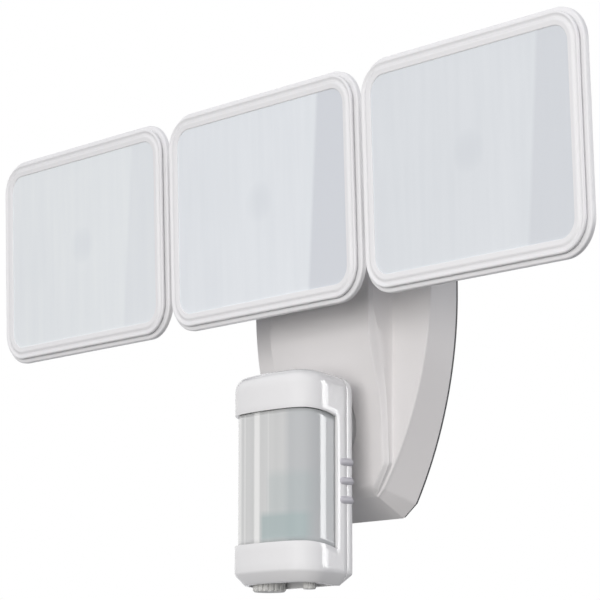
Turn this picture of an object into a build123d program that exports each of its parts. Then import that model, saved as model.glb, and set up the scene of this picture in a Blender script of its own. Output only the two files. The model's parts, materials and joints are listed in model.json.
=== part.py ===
from build123d import *
import math
import os

# Wall-mounted security light: three flat LED heads in a row on a shield-shaped wall box,
# with a motion sensor on a ball swivel below them. Millimetres.
# Frame: X to the viewer's right, Y into the wall, Z up. The origin is on the wall plane,
# at the middle of the mounting strap that is screwed to the junction box.

# ---------------------------------------------------------------- driving dimensions
# fits and clearances
RUN = 0.05            # radial clearance of a shaft that turns in its hole
GAP = 0.3             # clearance between pieces that pass each other
SEAT = 0.15           # clearance around a piece that drops into its pocket
SCREW_FIT = 0.1       # radial clearance of a screw in the wall it passes through

# heads
HEAD_W = 130.0        # front frame, width
HEAD_H = 100.0        # front frame, height
HEAD_GAP = 6.2        # between two front frames
HEAD_PITCH = HEAD_W + HEAD_GAP
HEAD_R = 14.0         # front frame, corner radius
HEAD_TILT = 1.9       # degrees each head faces down at rest
HEAD_REACH = 35.5     # tilt pin to the front plane
FRAME_LIP = 6.0       # width of the front frame's face
FRAME_FLANGE = 1.2    # thickness of the front frame's edge
FRAME_STEP = 1.2      # behind that edge the frame is this much narrower
FRAME_DEPTH = 2.8
BEAD = 1.5            # width of the outer bead on the front frame
BEAD_R = 0.55
GROOVE = 1.4          # width of the groove inside the bead
GROOVE_DEPTH = 0.6
LENS_SINK = 0.8       # lens face below the front frame
LENS_T = 2.4
LENS_TUCK = 1.0       # how far the lens goes under the frame's lip
SEAL_T = 0.8
SEAL_INSET = 1.4
RIM_FLARE = 2.0       # the housing's rim stands this far outside the front frame
RIM_GAP = 1.0         # open groove between the frame's edge and the rim
RIM_DEPTH = 2.4
RIM_ROUND = 0.8
BACK_CHAMFER = 7.5
BACK_DEPTH = 6.2
HOUSING_WALL = 5.5    # front frame's edge to the pocket
POCKET_DEPTH = 5.2
POCKET_R = 20.0
REFLECTOR_LIP = 1.0   # the reflector's opening is this much inside the frame's
REFLECTOR_SLOPE = 4.0
BOARD_T = 1.6
CHIP = 5.0
CHIP_T = 0.9
CHIP_COLUMNS = 8
CHIP_ROWS = 6
CHIP_MARGIN = 8.0     # outer chips' centres to the reflector's edge
WIRE_BOX_W = 72.0     # raised wiring box on the head's back
WIRE_BOX_H = 50.0
WIRE_BOX_R = 8.0
WIRE_BOX_DEPTH = 8.8
WIRE_BOX_WALL = 2.5
WIRE_BOX_DRAFT = 5.0
FIN_T = 1.8
FIN_PITCH = 5.5       # cooling fins on each side of the knuckle
FIN_FIRST = 15.0
FIN_MARGIN = 5.0      # last fin to the edge of the head's back
FIN_DEPTH = 5.3
FIN_H = 68.0
HEAD_SCREW_EDGE = 6.2 # frame's edge to the screws' centres
HEAD_SCREW_R = 1.0
HEAD_SCREW_CAP_R = 2.0
HEAD_SCREW_CAP = 1.4
HEAD_SCREW_COVER = 0.6 # left between the groove and the screw's hole

# tilt knuckles
PIN_Y = -31.0         # tilt pins, from the wall
PIN_Z = 26.2
TONGUE_W = 10.0
KNUCKLE_R = 8.0
EAR_T = 4.0
EAR_PLAY = 0.2        # between the tongue and each ear
TILT_BOLT_R = 2.5
BOLT_HEAD_R = 4.5
BOLT_HEAD_T = 3.6
NUT_T = 4.0
NUT_R = 4.6

# wall box
BOX_HALF = 62.4       # half-width at the wall
BOX_TOP = 54.0
BOX_TOP_R = 22.0
BOX_SIDE_START = -15.0
BOX_SIDE_R = 179.0
BOX_FOOT_Z = -110.5
BOX_BOTTOM_HALF = 26.5
BOX_BOTTOM = -116.5
BOX_DEPTH = 16.5      # wall to the flat front
SIDE_DRAFT = 1.1      # the same outline is this much smaller at the flat front
TOP_DRAFT = 1.5
SIDE_START_RISE = 5.0
SIDE_R_DRAFT = 23.0
FOOT_RISE = 6.0
BOTTOM_HALF_DRAFT = 1.0
BOTTOM_RISE = 8.5
BOX_WALL = 2.5
GASKET_T = 1.5
GASKET_INSET = 0.5
GASKET_W = 5.0

# spine: the raised middle of the wall box
SPINE_HALF = 35.5
SPINE_BEVEL = 1.5     # width of the bevel along its sides
SPINE_BEVEL_DEPTH = 2.7
SPINE_TOP = 50.0
PLATEAU = 20.0        # wall to the spine's flat top part, behind the centre head
SPINE_HIGH = 29.8     # wall to the spine's face at its highest
SPINE_HIGH_TOP = -9.0
SPINE_HIGH_FOOT = -33.0
SPINE_LOW = 21.7      # wall to the spine's face behind the sensor
SPINE_LOW_Z = -76.0
SPINE_FOOT = 20.9     # wall to the spine's face near its bottom end
SPINE_FOOT_Z = -103.5
SPINE_END_Z = -107.5
SPINE_TRIM = 1.6      # box front's outline to the spine's lower end

# side arms
ARM_Y = -8.5
ARM_DEPTH = 11.0
ARM_H = 14.0
ARM_SPIGOT_Y = -7.8
ARM_SPIGOT_R = 3.5
ARM_BORE_R = 2.2
ARM_NUT_R = 5.4
ARM_NUT_T = 3.6
ARM_NUT_PLAY = 1.3    # box wall to the arm's nut
ARM_THREAD = 0.8      # the arm's hollow stud ends this far inside its nut
SIDE_PAD = 1.6        # height of the arm's pad on the box's side
SWIVEL_Y = -11.0      # vertical pins of the side heads' swivels
SWIVEL_R = 8.0
SWIVEL_BOSS_H = 16.0
SWIVEL_PLATE = 3.5
SWIVEL_PIN_R = 3.0
SWIVEL_CAP_R = 5.5
SWIVEL_CAP = 3.2
SWIVEL_KEY_R = 2.6    # hexagon socket in the swivel bolt's head
SWIVEL_KEY_DEPTH = 2.0
SWIVEL_NUT_R = 5.8

# strap and screws that hold the box on the wall
STRAP_END = 8.4       # box side to the strap's end
STRAP_H = 22.0
STRAP_T = 2.0
STRAP_TAB = 10.5
SLOT_SPACING = 88.9   # screw holes of a 4 inch junction box
SLOT_LENGTH = 12.0
SLOT_HALF = 2.4
SIDE_SCREW_Y = -7.0
SIDE_SCREW_R = 2.0
SIDE_SCREW_HEAD_R = 3.6
SIDE_SCREW_HEAD = 2.4
SIDE_SCREW_PAD = 0.8  # height of the screw's pad on the box's side

# power board in the spine
DRIVER_HALF = 29.0
DRIVER_TOP = 40.0
DRIVER_FOOT = -40.0
DRIVER_FACE = 16.6    # wall to the board's front face
DRIVER_SCREW_X = 25.0
DRIVER_SCREW_TOP = 34.0
DRIVER_SCREW_LOW = 6.0
STANDOFF_R = 3.0
SMALL_SCREW_R = 1.25
SMALL_SCREW_HEAD_R = 2.3
SMALL_SCREW_HEAD = 1.4
TRANSFORMER = (22.0, 10.0, 18.0)      # width, depth, height of what stands on the board
TRANSFORMER_X, TRANSFORMER_Z = -1.0, 25.0
RELAY = (15.0, 9.0, 13.0)
RELAY_X, RELAY_Z = -12.5, -26.5
BRIDGE = (8.0, 4.0, 8.0)
BRIDGE_X, BRIDGE_Z = 18.0, 22.0
CAN_X, CAN_Z, CAN_R, CAN_H = 15.0, -18.0, 5.0, 9.0
SMALL_CAN_X, SMALL_CAN_Z, SMALL_CAN_R, SMALL_CAN_H = 15.0, -31.0, 4.0, 8.0
COIL_X, COIL_Z, COIL_R, COIL_H = 3.0, -26.0, 3.2, 7.0
TERMINAL_EDGE = 12.4  # box side to the terminal block
TERMINAL_W = 15.5
TERMINAL_H = 16.0
TERMINAL_D = 8.7
TERMINAL_TOP = -16.0
TERMINAL_PITCH = 4.8
TERMINAL_BORE_R = 1.3

# sensor swivel
BALL_Y = -16.0
BALL_Z = -74.0
BALL_R = 15.8
BALL_FACE = -28.3     # flat front and back of the ball
BALL_TAIL = -4.5
BALL_SLOT_H = 18.0    # slot that the sensor's neck tilts in
BALL_SLOT_BACK = 8.0
BALL_HOLE_R = 17.1    # round opening in the spine
SOCKET_R = 23.0
SOCKET_SCREW_CIRCLE = 20.0
SOCKET_T = 4.8
SWIVEL_STUB_R = 1.6
TILT_PIN_R = 2.0
TILT_PIN_HALF = 13.5
NECK_W = 10.0
NECK_H = 12.0

# sensor head
SENSOR_HALF = 28.0
SENSOR_FRONT = -64.7
SENSOR_BACK = -33.4
SENSOR_TOP = -51.8
SENSOR_BOTTOM = -146.8
SENSOR_CORNER = 14.0
SENSOR_CROWN = 4.0    # how far the front bulges
SENSOR_BACK_CORNER = 1.5
SENSOR_SPLIT = -37.5  # parting line between front and rear shell
SENSOR_WALL = 3.0
CAP_ROUND = 7.0
CAP_CHAMFER = 4.5
REAR_EASE_H = 10.0    # the rear top edge falls away, height and depth
REAR_EASE_D = 6.0
WINDOW_TOP = -70.0
WINDOW_FOOT = -129.4
WINDOW_EDGE = -43.0   # where the window ends on the sides
WINDOW_BEND = -59.0   # behind here its top and foot slope down
WINDOW_DROOP = 3.3
WINDOW_INSET = 1.5    # the window lies this far inside the caps
WINDOW_T = 1.2
SENSOR_BOARD_Y = -42.0
SENSOR_BOARD_HALF = 18.0
SENSOR_BOARD_TOP = -58.0
SENSOR_BOARD_FOOT = -132.0
PIR_R = 4.6
PIR_H = 5.0
PIR_Z = -98.0
FLOOR_T = 6.0         # height of the sensor's bottom rim
FLOOR_RIM = 6.5       # width of that rim
PLATE_SINK = 1.6
PLATE_T = 2.0
PLATE_FLANGE = 1.6
SCREW_SINK = 1.6
GRIP_COUNT = 3        # grip ribs on each side
GRIP_R = 1.8
GRIP_PROUD = 0.9
GRIP_TOP = -93.5
GRIP_PITCH = 8.5
GRIP_END = 1.4        # ribs' ends to the window and to the back
DIAL_Y = -48.0
RANGE_DIAL_X = -13.0
RANGE_DIAL_R = 7.5
TIME_DIAL_X = 14.5
TIME_DIAL_R = 3.0
DIAL_DROP = 3.2       # the dials reach this far below the sensor
DIAL_SHAFT_R = 1.5
TRIMMER_HALF = 4.0    # the trimmers on the sensor's board that the dials turn
TRIMMER_H = 5.0
SENSOR_SCREW_X = 22.0
SENSOR_SCREW_R = 1.25
SENSOR_SCREW_DOWN = 10.0  # sensor's top to its upper screws
SENSOR_SCREW_UP = 11.0    # sensor's bottom to its lower screws
BOSS_DEPTH = 5.2
BOSS_HALF = 3.0
WIDE = 200.0          # reach of the blocks that cut pieces apart


# ---------------------------------------------------------------- helpers
def wall_plane(y):
    """A sketch plane parallel to the wall, facing the viewer: sketch x, y are X, Z."""
    return Plane(origin=(0, y, 0), x_dir=(1, 0, 0), z_dir=(0, -1, 0))


def slab(sketch, front, rear):
    """Extrude a sketch given in X, Z between two distances along Y."""
    return extrude(wall_plane(rear) * sketch, rear - front)


def block(x0, x1, y0, y1, z0, z1):
    return Pos((x0 + x1) / 2, (y0 + y1) / 2, (z0 + z1) / 2) * Box(x1 - x0, y1 - y0, z1 - z0)


def rod(start, end, radius):
    axis = Vector(*end) - Vector(*start)
    return extrude(Plane(origin=start, z_dir=axis) * Circle(radius), axis.length)


def hexagon(start, end, radius):
    axis = Vector(*end) - Vector(*start)
    return extrude(Plane(origin=start, z_dir=axis) * RegularPolygon(radius, 6), axis.length)


def rounded(width, height, radius):
    return RectangleRounded(width, height, radius)


def taper(size_a, y_a, size_b, y_b):
    """Ruled solid between two rounded rectangles (width, height, radius) at two depths."""
    return loft([wall_plane(y_a) * rounded(*size_a), wall_plane(y_b) * rounded(*size_b)], ruled=True)


def mirrored(shape):
    return mirror(shape, about=Plane.YZ)


parts = {}


# ---------------------------------------------------------------- heads
def depth(d):
    """Distance behind the head's front plane, as Y in the head's own frame (pin at 0)."""
    return d - HEAD_REACH


LENS_BACK = LENS_SINK + LENS_T
SEAL_BACK = FRAME_DEPTH + SEAL_T
RIM_FRONT = FRAME_FLANGE + RIM_GAP
RIM_BACK = RIM_FRONT + RIM_DEPTH
HEAD_BACK = RIM_BACK + BACK_DEPTH
POCKET_BACK = SEAL_BACK + POCKET_DEPTH
BOX_BACK = HEAD_BACK + WIRE_BOX_DEPTH
HEAD = (HEAD_W, HEAD_H, HEAD_R)


def grown(outline, margin):
    """The same rounded rectangle, margin larger all round, or smaller."""
    width, height, radius = outline
    return width + 2 * margin, height + 2 * margin, radius + margin


RIM = grown(HEAD, RIM_FLARE)
BACK_PLATE = grown(RIM, -BACK_CHAMFER)
WEB = grown(HEAD, -FRAME_STEP)
OPENING = grown(HEAD, -FRAME_LIP)
LENS = grown(OPENING, LENS_TUCK)
POCKET = (HEAD_W - 2 * HOUSING_WALL, HEAD_H - 2 * HOUSING_WALL, POCKET_R)
REFLECTOR_FRONT = (OPENING[0] - 2 * REFLECTOR_LIP, OPENING[1] - 2 * REFLECTOR_LIP, POCKET_R - REFLECTOR_LIP)
REFLECTOR_REAR = grown(REFLECTOR_FRONT, -REFLECTOR_SLOPE)
WIRE_BOX = (WIRE_BOX_W, WIRE_BOX_H, WIRE_BOX_R)
CHIP_PITCH_X = (REFLECTOR_REAR[0] - 2 * CHIP_MARGIN) / (CHIP_COLUMNS - 1)
CHIP_PITCH_Z = (REFLECTOR_REAR[1] - 2 * CHIP_MARGIN) / (CHIP_ROWS - 1)
FIN_COUNT = 1 + int((BACK_PLATE[0] / 2 - FIN_MARGIN - FIN_FIRST) / FIN_PITCH)
HEAD_SCREW_X, HEAD_SCREW_Z = HEAD_W / 2 - HEAD_SCREW_EDGE, HEAD_H / 2 - HEAD_SCREW_EDGE
HEAD_SCREWS = [(sx * HEAD_SCREW_X, sz * HEAD_SCREW_Z) for sx in (-1, 1) for sz in (-1, 1)]
SCREW_SEAT = RIM_BACK + 0.4
SCREW_TIP = GROOVE_DEPTH + HEAD_SCREW_COVER


def head_frame():
    body = slab(rounded(*HEAD), depth(0), depth(FRAME_FLANGE))
    front_edges = body.faces().sort_by(Axis.Y)[0].outer_wire().edges()
    body = fillet(front_edges, BEAD_R)
    body += slab(rounded(*WEB), depth(FRAME_FLANGE), depth(FRAME_DEPTH))
    groove = rounded(*grown(HEAD, -BEAD)) - rounded(*grown(HEAD, -BEAD - GROOVE))
    body -= slab(groove, depth(0), depth(GROOVE_DEPTH))
    body -= slab(rounded(*OPENING), depth(0), depth(FRAME_DEPTH))
    body -= slab(rounded(*grown(LENS, SEAT)), depth(LENS_SINK), depth(FRAME_DEPTH))
    for x, z in HEAD_SCREWS:
        body -= rod((x, depth(SCREW_TIP), z), (x, depth(FRAME_DEPTH), z), HEAD_SCREW_R + SCREW_FIT)
    return body


def head_lens():
    return slab(rounded(*LENS), depth(LENS_SINK), depth(LENS_BACK))


def head_seal():
    outer = rounded(*grown(HEAD, -SEAL_INSET)) - rounded(*grown(LENS, SEAT))
    ring = slab(outer, depth(FRAME_DEPTH), depth(SEAL_BACK))
    for x, z in HEAD_SCREWS:
        ring -= rod((x, depth(FRAME_DEPTH), z), (x, depth(SEAL_BACK), z), HEAD_SCREW_R + SCREW_FIT)
    return ring


def head_housing():
    rim = slab(rounded(*RIM), depth(RIM_FRONT), depth(RIM_BACK))
    rim = fillet(rim.faces().sort_by(Axis.Y)[0].outer_wire().edges(), RIM_ROUND)
    body = rim + taper(RIM, depth(RIM_BACK), BACK_PLATE, depth(HEAD_BACK))
    body += taper(grown(WIRE_BOX, WIRE_BOX_DRAFT), depth(HEAD_BACK), WIRE_BOX, depth(BOX_BACK))
    for side in (-1, 1):
        for i in range(FIN_COUNT):
            x = side * (FIN_FIRST + i * FIN_PITCH)
            body += block(x - FIN_T / 2, x + FIN_T / 2, depth(HEAD_BACK - 1), depth(HEAD_BACK + FIN_DEPTH),
                          -FIN_H / 2, FIN_H / 2)
    tongue = block(-TONGUE_W / 2, TONGUE_W / 2, depth(BOX_BACK - 1), 0, -KNUCKLE_R, KNUCKLE_R)
    tongue += rod((-TONGUE_W / 2, 0, 0), (TONGUE_W / 2, 0, 0), KNUCKLE_R)
    body += tongue
    body -= rod((-TONGUE_W, 0, 0), (TONGUE_W, 0, 0), TILT_BOLT_R + RUN)
    body -= slab(rounded(*grown(WEB, SEAT)), depth(RIM_FRONT), depth(SEAL_BACK))
    body -= slab(rounded(*POCKET), depth(SEAL_BACK), depth(POCKET_BACK))
    body -= slab(rounded(*grown(WIRE_BOX, -WIRE_BOX_WALL)), depth(POCKET_BACK),
                 depth(BOX_BACK - WIRE_BOX_WALL))
    for x, z in HEAD_SCREWS:
        body -= rod((x, depth(SEAL_BACK), z), (x, depth(HEAD_BACK + 2), z), HEAD_SCREW_R + SCREW_FIT)
        body -= rod((x, depth(SCREW_SEAT), z), (x, depth(HEAD_BACK + 2), z), HEAD_SCREW_CAP_R + GAP)
    return body


def head_reflector():
    board_face = depth(POCKET_BACK - BOARD_T)
    outer = slab(rounded(*grown(POCKET, -SEAT)), depth(SEAL_BACK), board_face)
    return outer - taper(REFLECTOR_FRONT, depth(SEAL_BACK), REFLECTOR_REAR, board_face)


def head_board():
    return slab(rounded(*grown(POCKET, -SEAT)), depth(POCKET_BACK - BOARD_T), depth(POCKET_BACK))


def head_chips():
    top = depth(POCKET_BACK - BOARD_T)
    chips = []
    for column in range(CHIP_COLUMNS):
        for row in range(CHIP_ROWS):
            x = (column - (CHIP_COLUMNS - 1) / 2) * CHIP_PITCH_X
            z = (row - (CHIP_ROWS - 1) / 2) * CHIP_PITCH_Z
            chips.append(block(x - CHIP / 2, x + CHIP / 2, top - CHIP_T, top, z - CHIP / 2, z + CHIP / 2))
    return Compound(children=chips)


def head_screws():
    screws = []
    for x, z in HEAD_SCREWS:
        shank = rod((x, depth(SCREW_TIP + 0.2), z), (x, depth(SCREW_SEAT + 0.2), z), HEAD_SCREW_R)
        cap = rod((x, depth(SCREW_SEAT), z), (x, depth(SCREW_SEAT + HEAD_SCREW_CAP), z), HEAD_SCREW_CAP_R)
        screws.append(shank + cap)
    return Compound(children=screws)


HEAD_PIECES = {
    "housing": head_housing, "front_frame": head_frame, "lens": head_lens, "seal": head_seal,
    "reflector": head_reflector, "led_board": head_board, "led_chips": head_chips,
    "screws": head_screws,
}
HEAD_PLACES = {"left": -HEAD_PITCH, "centre": 0.0, "right": HEAD_PITCH}
for piece, make in HEAD_PIECES.items():
    solid = make()
    for side, x in HEAD_PLACES.items():
        parts[f"{side}_head_{piece}"] = Pos(x, PIN_Y, PIN_Z) * Rot(HEAD_TILT, 0, 0) * solid


# ---------------------------------------------------------------- tilt knuckles
EAR_IN = TONGUE_W / 2 + EAR_PLAY
EAR_OUT = EAR_IN + EAR_T
FORK_FACE = KNUCKLE_R + 0.6      # behind the pin, where the ears spring from their base


def fork_ears(x):
    ears = Part()
    for side in (-1, 1):
        x0, x1 = sorted((x + side * EAR_IN, x + side * EAR_OUT))
        ears += block(x0, x1, PIN_Y, PIN_Y + FORK_FACE + 1.0, PIN_Z - KNUCKLE_R, PIN_Z + KNUCKLE_R)
        ears += rod((x0, PIN_Y, PIN_Z), (x1, PIN_Y, PIN_Z), KNUCKLE_R)
    return ears


def tilt_bolt(x):
    shank = rod((x - EAR_OUT - 1.0, PIN_Y, PIN_Z), (x + EAR_OUT + NUT_T + 1.0, PIN_Y, PIN_Z), TILT_BOLT_R)
    head = rod((x - EAR_OUT - BOLT_HEAD_T, PIN_Y, PIN_Z), (x - EAR_OUT, PIN_Y, PIN_Z), BOLT_HEAD_R)
    socket = hexagon((x - EAR_OUT - BOLT_HEAD_T, PIN_Y, PIN_Z), (x - EAR_OUT - 1.6, PIN_Y, PIN_Z), 2.3)
    return shank + head - socket


def lock_nut(x):
    nut = hexagon((x + EAR_OUT, PIN_Y, PIN_Z), (x + EAR_OUT + NUT_T, PIN_Y, PIN_Z), NUT_R)
    return nut - rod((x + EAR_OUT - 1, PIN_Y, PIN_Z), (x + EAR_OUT + NUT_T + 1, PIN_Y, PIN_Z),
                     TILT_BOLT_R + RUN)


def bolt_hole(x):
    return rod((x - EAR_OUT - 1, PIN_Y, PIN_Z), (x + EAR_OUT + 1, PIN_Y, PIN_Z), TILT_BOLT_R + RUN)


for side, x in HEAD_PLACES.items():
    parts[f"{side}_tilt_bolt"] = tilt_bolt(x)
    parts[f"{side}_lock_nut"] = lock_nut(x)

# centre bracket: a fork on a square foot, screwed to the spine's flat top part
BRACKET_HALF = 14.0
BRACKET_SCREW = 10.5
BRACKET_SCREWS = [(sx * BRACKET_SCREW, PIN_Z + sz * BRACKET_SCREW) for sx in (-1, 1) for sz in (-1, 1)]
FOOT_FACE = PIN_Y + FORK_FACE
bracket = block(-BRACKET_HALF, BRACKET_HALF, FOOT_FACE, -PLATEAU, PIN_Z - BRACKET_HALF, PIN_Z + BRACKET_HALF)
bracket = fillet(bracket.edges().filter_by(Axis.Y), 3.0)
bracket += fork_ears(0)
bracket -= bolt_hole(0)
for x, z in BRACKET_SCREWS:
    bracket -= rod((x, FOOT_FACE - 1, z), (x, -PLATEAU + 1, z), SMALL_SCREW_R + SCREW_FIT)
parts["centre_bracket"] = bracket


# ---------------------------------------------------------------- wall box
def shield(half, top, top_r, side_start, side_r, foot_z, bottom_half, bottom, inset=0.0):
    """Shield outline in X, Z: straight flanks, then arcs in to a short flat bottom."""
    half, top, bottom = half - inset, top - inset, bottom + inset
    top_r, side_r, bottom_half = top_r - inset, side_r - inset, bottom_half - 0.6 * inset

    def flank(z):
        return half - side_r + math.sqrt(side_r ** 2 - (side_start - z) ** 2)

    foot_z = foot_z + 0.7 * inset
    mid_z = (side_start + foot_z) / 2
    knee = top_r * (1 - math.sqrt(0.5))
    right = [
        Line((0, top), (half - top_r, top)),
        ThreePointArc((half - top_r, top), (half - knee, top - knee), (half, top - top_r)),
        Line((half, top - top_r), (half, side_start)),
        ThreePointArc((half, side_start), (flank(mid_z), mid_z), (flank(foot_z), foot_z)),
        Line((flank(foot_z), foot_z), (bottom_half, bottom)),
        Line((bottom_half, bottom), (0, bottom)),
    ]
    left = [mirror(edge, about=Plane.YZ) for edge in right]
    return make_face(right + left)


REAR = (BOX_HALF, BOX_TOP, BOX_TOP_R, BOX_SIDE_START, BOX_SIDE_R, BOX_FOOT_Z, BOX_BOTTOM_HALF, BOX_BOTTOM)
FRONT = (BOX_HALF - SIDE_DRAFT, BOX_TOP - TOP_DRAFT, BOX_TOP_R, BOX_SIDE_START + SIDE_START_RISE,
         BOX_SIDE_R - SIDE_R_DRAFT, BOX_FOOT_Z + FOOT_RISE, BOX_BOTTOM_HALF - BOTTOM_HALF_DRAFT,
         BOX_BOTTOM + BOTTOM_RISE)
ARM_PAD_X = BOX_HALF + SIDE_PAD              # faces of the pads on the box's sides
SCREW_PAD_X = BOX_HALF + SIDE_SCREW_PAD
STRAP_HALF = BOX_HALF - STRAP_END


def tray(inset, front, rear):
    return loft([wall_plane(rear) * shield(*REAR, inset), wall_plane(front) * shield(*FRONT, inset)],
                ruled=True)


def spine_profile(inset=0.0):
    """The spine's side view in Y, Z; inset gives the cavity under it."""
    face = [
        (-SPINE_HIGH + inset, SPINE_HIGH_FOOT), (-27.2 + inset, -45.0), (-24.1 + inset, -57.0),
        (-SPINE_LOW + inset, SPINE_LOW_Z), (-SPINE_FOOT + inset, SPINE_FOOT_Z + inset),
    ]
    plateau = -PLATEAU + inset
    root = -BOX_DEPTH + inset + 1.0
    slope_top = (plateau, SPINE_HIGH_TOP + 10.0 - inset)
    edges = [
        Spline(face, tangents=[(0, -1), (0.05, -1)]),
        Line(face[-1], (root, SPINE_END_Z + inset)),
        Line((root, SPINE_END_Z + inset), (root, SPINE_TOP - inset)),
        Line((root, SPINE_TOP - inset), (plateau, SPINE_TOP - inset)),
        Line((plateau, SPINE_TOP - inset), slope_top),
        Line(slope_top, (-SPINE_HIGH + inset, SPINE_HIGH_TOP - inset)),
        Line((-SPINE_HIGH + inset, SPINE_HIGH_TOP - inset), face[0]),
    ]
    return make_face(edges)


def spine(half, inset=0.0):
    side_view = Plane(origin=(-half, 0, 0), x_dir=(0, 1, 0), z_dir=(1, 0, 0))
    return extrude(side_view * spine_profile(inset), 2 * half)


def spine_body():
    """The raised face, its bevelled step, and its lower end trimmed to the box's outline."""
    body = spine(SPINE_HALF - SPINE_BEVEL) + Pos(0, SPINE_BEVEL_DEPTH, 0) * spine(SPINE_HALF)
    trim = slab(shield(*FRONT, SPINE_TRIM), -SPINE_HIGH - 5, 0)
    return body & trim


PAD_LOW = 5.0
ARM_PAD = (PIN_Z - 9.0, PIN_Z + 9.0)
SCREW_PAD = (-PAD_LOW, PAD_LOW)

canopy = tray(0, -BOX_DEPTH, -GASKET_T)
canopy = fillet(canopy.faces().sort_by(Axis.Y)[0].outer_wire().edges(), 1.5)
canopy += spine_body()
arm_pad = block(BOX_HALF - 6, ARM_PAD_X, -BOX_DEPTH + 2.0, -2.0, *ARM_PAD)
screw_pad = block(BOX_HALF - 6, SCREW_PAD_X, -BOX_DEPTH + 3.0, -2.0, *SCREW_PAD)
for pad in (arm_pad, screw_pad):
    canopy += pad
    canopy += mirrored(pad)
cavity = tray(BOX_WALL, -BOX_DEPTH + BOX_WALL, 0)
cavity += spine(SPINE_HALF - SPINE_BEVEL - BOX_WALL, BOX_WALL) & slab(
    shield(*FRONT, SPINE_TRIM + BOX_WALL), -SPINE_HIGH - 5, 0)
canopy -= cavity

# collar and hole for the ball swivel
SOCKET_FACE = -18.4
canopy += rod((0, -SPINE_HIGH, BALL_Z), (0, SOCKET_FACE, BALL_Z), SOCKET_R) & spine_body()
canopy -= rod((0, -40, BALL_Z), (0, 0, BALL_Z), BALL_HOLE_R)
SOCKET_SCREWS = [(SOCKET_SCREW_CIRCLE * math.cos(math.radians(turn)),
                  BALL_Z + SOCKET_SCREW_CIRCLE * math.sin(math.radians(turn)))
                 for turn in (35, 145, 215, 325)]

# standoffs for the power board
DRIVER_SCREWS = [(sx * DRIVER_SCREW_X, z) for sx in (-1, 1) for z in (DRIVER_SCREW_TOP, DRIVER_SCREW_LOW)]
for x, z in DRIVER_SCREWS:
    canopy += rod((x, -DRIVER_FACE, z), (x, -PLATEAU + 1.0, z), STANDOFF_R)

for x, z in DRIVER_SCREWS:
    canopy -= rod((x, -DRIVER_FACE - 2.2, z), (x, -DRIVER_FACE + 1, z), SMALL_SCREW_R + SCREW_FIT)
for x, z in SOCKET_SCREWS:
    canopy -= rod((x, SOCKET_FACE - 1.6, z), (x, SOCKET_FACE + 1, z), SMALL_SCREW_R + SCREW_FIT)
for x, z in BRACKET_SCREWS:
    canopy -= rod((x, -PLATEAU - 1, z), (x, -PLATEAU + BOX_WALL + 1, z), SMALL_SCREW_R + SCREW_FIT)
for side in (-1, 1):
    x0, x1 = side * (BOX_HALF - 10), side * (ARM_PAD_X + 2)
    canopy -= rod((x0, ARM_SPIGOT_Y, PIN_Z), (x1, ARM_SPIGOT_Y, PIN_Z), ARM_SPIGOT_R + SCREW_FIT)
    canopy -= rod((x0, SIDE_SCREW_Y, 0), (x1, SIDE_SCREW_Y, 0), SIDE_SCREW_R + SCREW_FIT)
parts["canopy"] = canopy

ring = shield(*REAR, GASKET_INSET) - shield(*REAR, GASKET_INSET + GASKET_W)
parts["wall_gasket"] = slab(ring, -GASKET_T, 0)

# mounting strap: flat bar with two slots and a bent tab at each end
strap = block(-STRAP_HALF, STRAP_HALF, -STRAP_T, 0, -STRAP_H / 2, STRAP_H / 2)
for side in (-1, 1):
    x0, x1 = sorted((side * STRAP_HALF, side * (STRAP_HALF - STRAP_T)))
    strap += block(x0, x1, -STRAP_TAB, -0.5, -8.0, 8.0)
    strap -= rod((x0 - 1, SIDE_SCREW_Y, 0), (x1 + 1, SIDE_SCREW_Y, 0), SIDE_SCREW_R + SCREW_FIT)
    slot = Pos(side * SLOT_SPACING / 2, 0) * SlotOverall(SLOT_LENGTH, 2 * SLOT_HALF)
    strap -= slab(slot, -STRAP_T - 1, 1)
GROUND_X = 18.0
strap -= rod((GROUND_X, -STRAP_T - 1, 0), (GROUND_X, 1, 0), SIDE_SCREW_R + SCREW_FIT)
parts["mounting_strap"] = strap

screws = []
for side in (-1, 1):
    shank = rod((side * (STRAP_HALF - 6), SIDE_SCREW_Y, 0), (side * (SCREW_PAD_X + 1), SIDE_SCREW_Y, 0),
                SIDE_SCREW_R)
    head = rod((side * SCREW_PAD_X, SIDE_SCREW_Y, 0),
               (side * (SCREW_PAD_X + SIDE_SCREW_HEAD), SIDE_SCREW_Y, 0), SIDE_SCREW_HEAD_R)
    x0, x1 = sorted((side * (SCREW_PAD_X + 1.2), side * (SCREW_PAD_X + SIDE_SCREW_HEAD + 1)))
    cross = block(x0, x1, SIDE_SCREW_Y - 0.5, SIDE_SCREW_Y + 0.5, -2.2, 2.2)
    cross += block(x0, x1, SIDE_SCREW_Y - 2.2, SIDE_SCREW_Y + 2.2, -0.5, 0.5)
    screws.append(shank + head - cross)
parts["box_side_screws"] = Compound(children=screws)

ground = rod((GROUND_X, -6.5, 0), (GROUND_X, -0.2, 0), SIDE_SCREW_R)
ground += hexagon((GROUND_X, -STRAP_T - 2.8, 0), (GROUND_X, -STRAP_T, 0), 4.2)
parts["ground_screw"] = ground

# ---------------------------------------------------------------- power board
board = block(-DRIVER_HALF, DRIVER_HALF, -DRIVER_FACE, -DRIVER_FACE + BOARD_T, DRIVER_FOOT, DRIVER_TOP)
for x, z in DRIVER_SCREWS:
    board -= rod((x, -DRIVER_FACE - 1, z), (x, -DRIVER_FACE + BOARD_T + 1, z), SMALL_SCREW_R + SCREW_FIT)
parts["driver_board"] = board

BOARD_BACK = -DRIVER_FACE + BOARD_T


def on_board(x, z, size):
    width, height, tall = size
    return block(x - width / 2, x + width / 2, BOARD_BACK, BOARD_BACK + height, z - tall / 2, z + tall / 2)


def can(x, z, radius, height):
    return rod((x, BOARD_BACK, z), (x, BOARD_BACK + height, z), radius)


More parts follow.
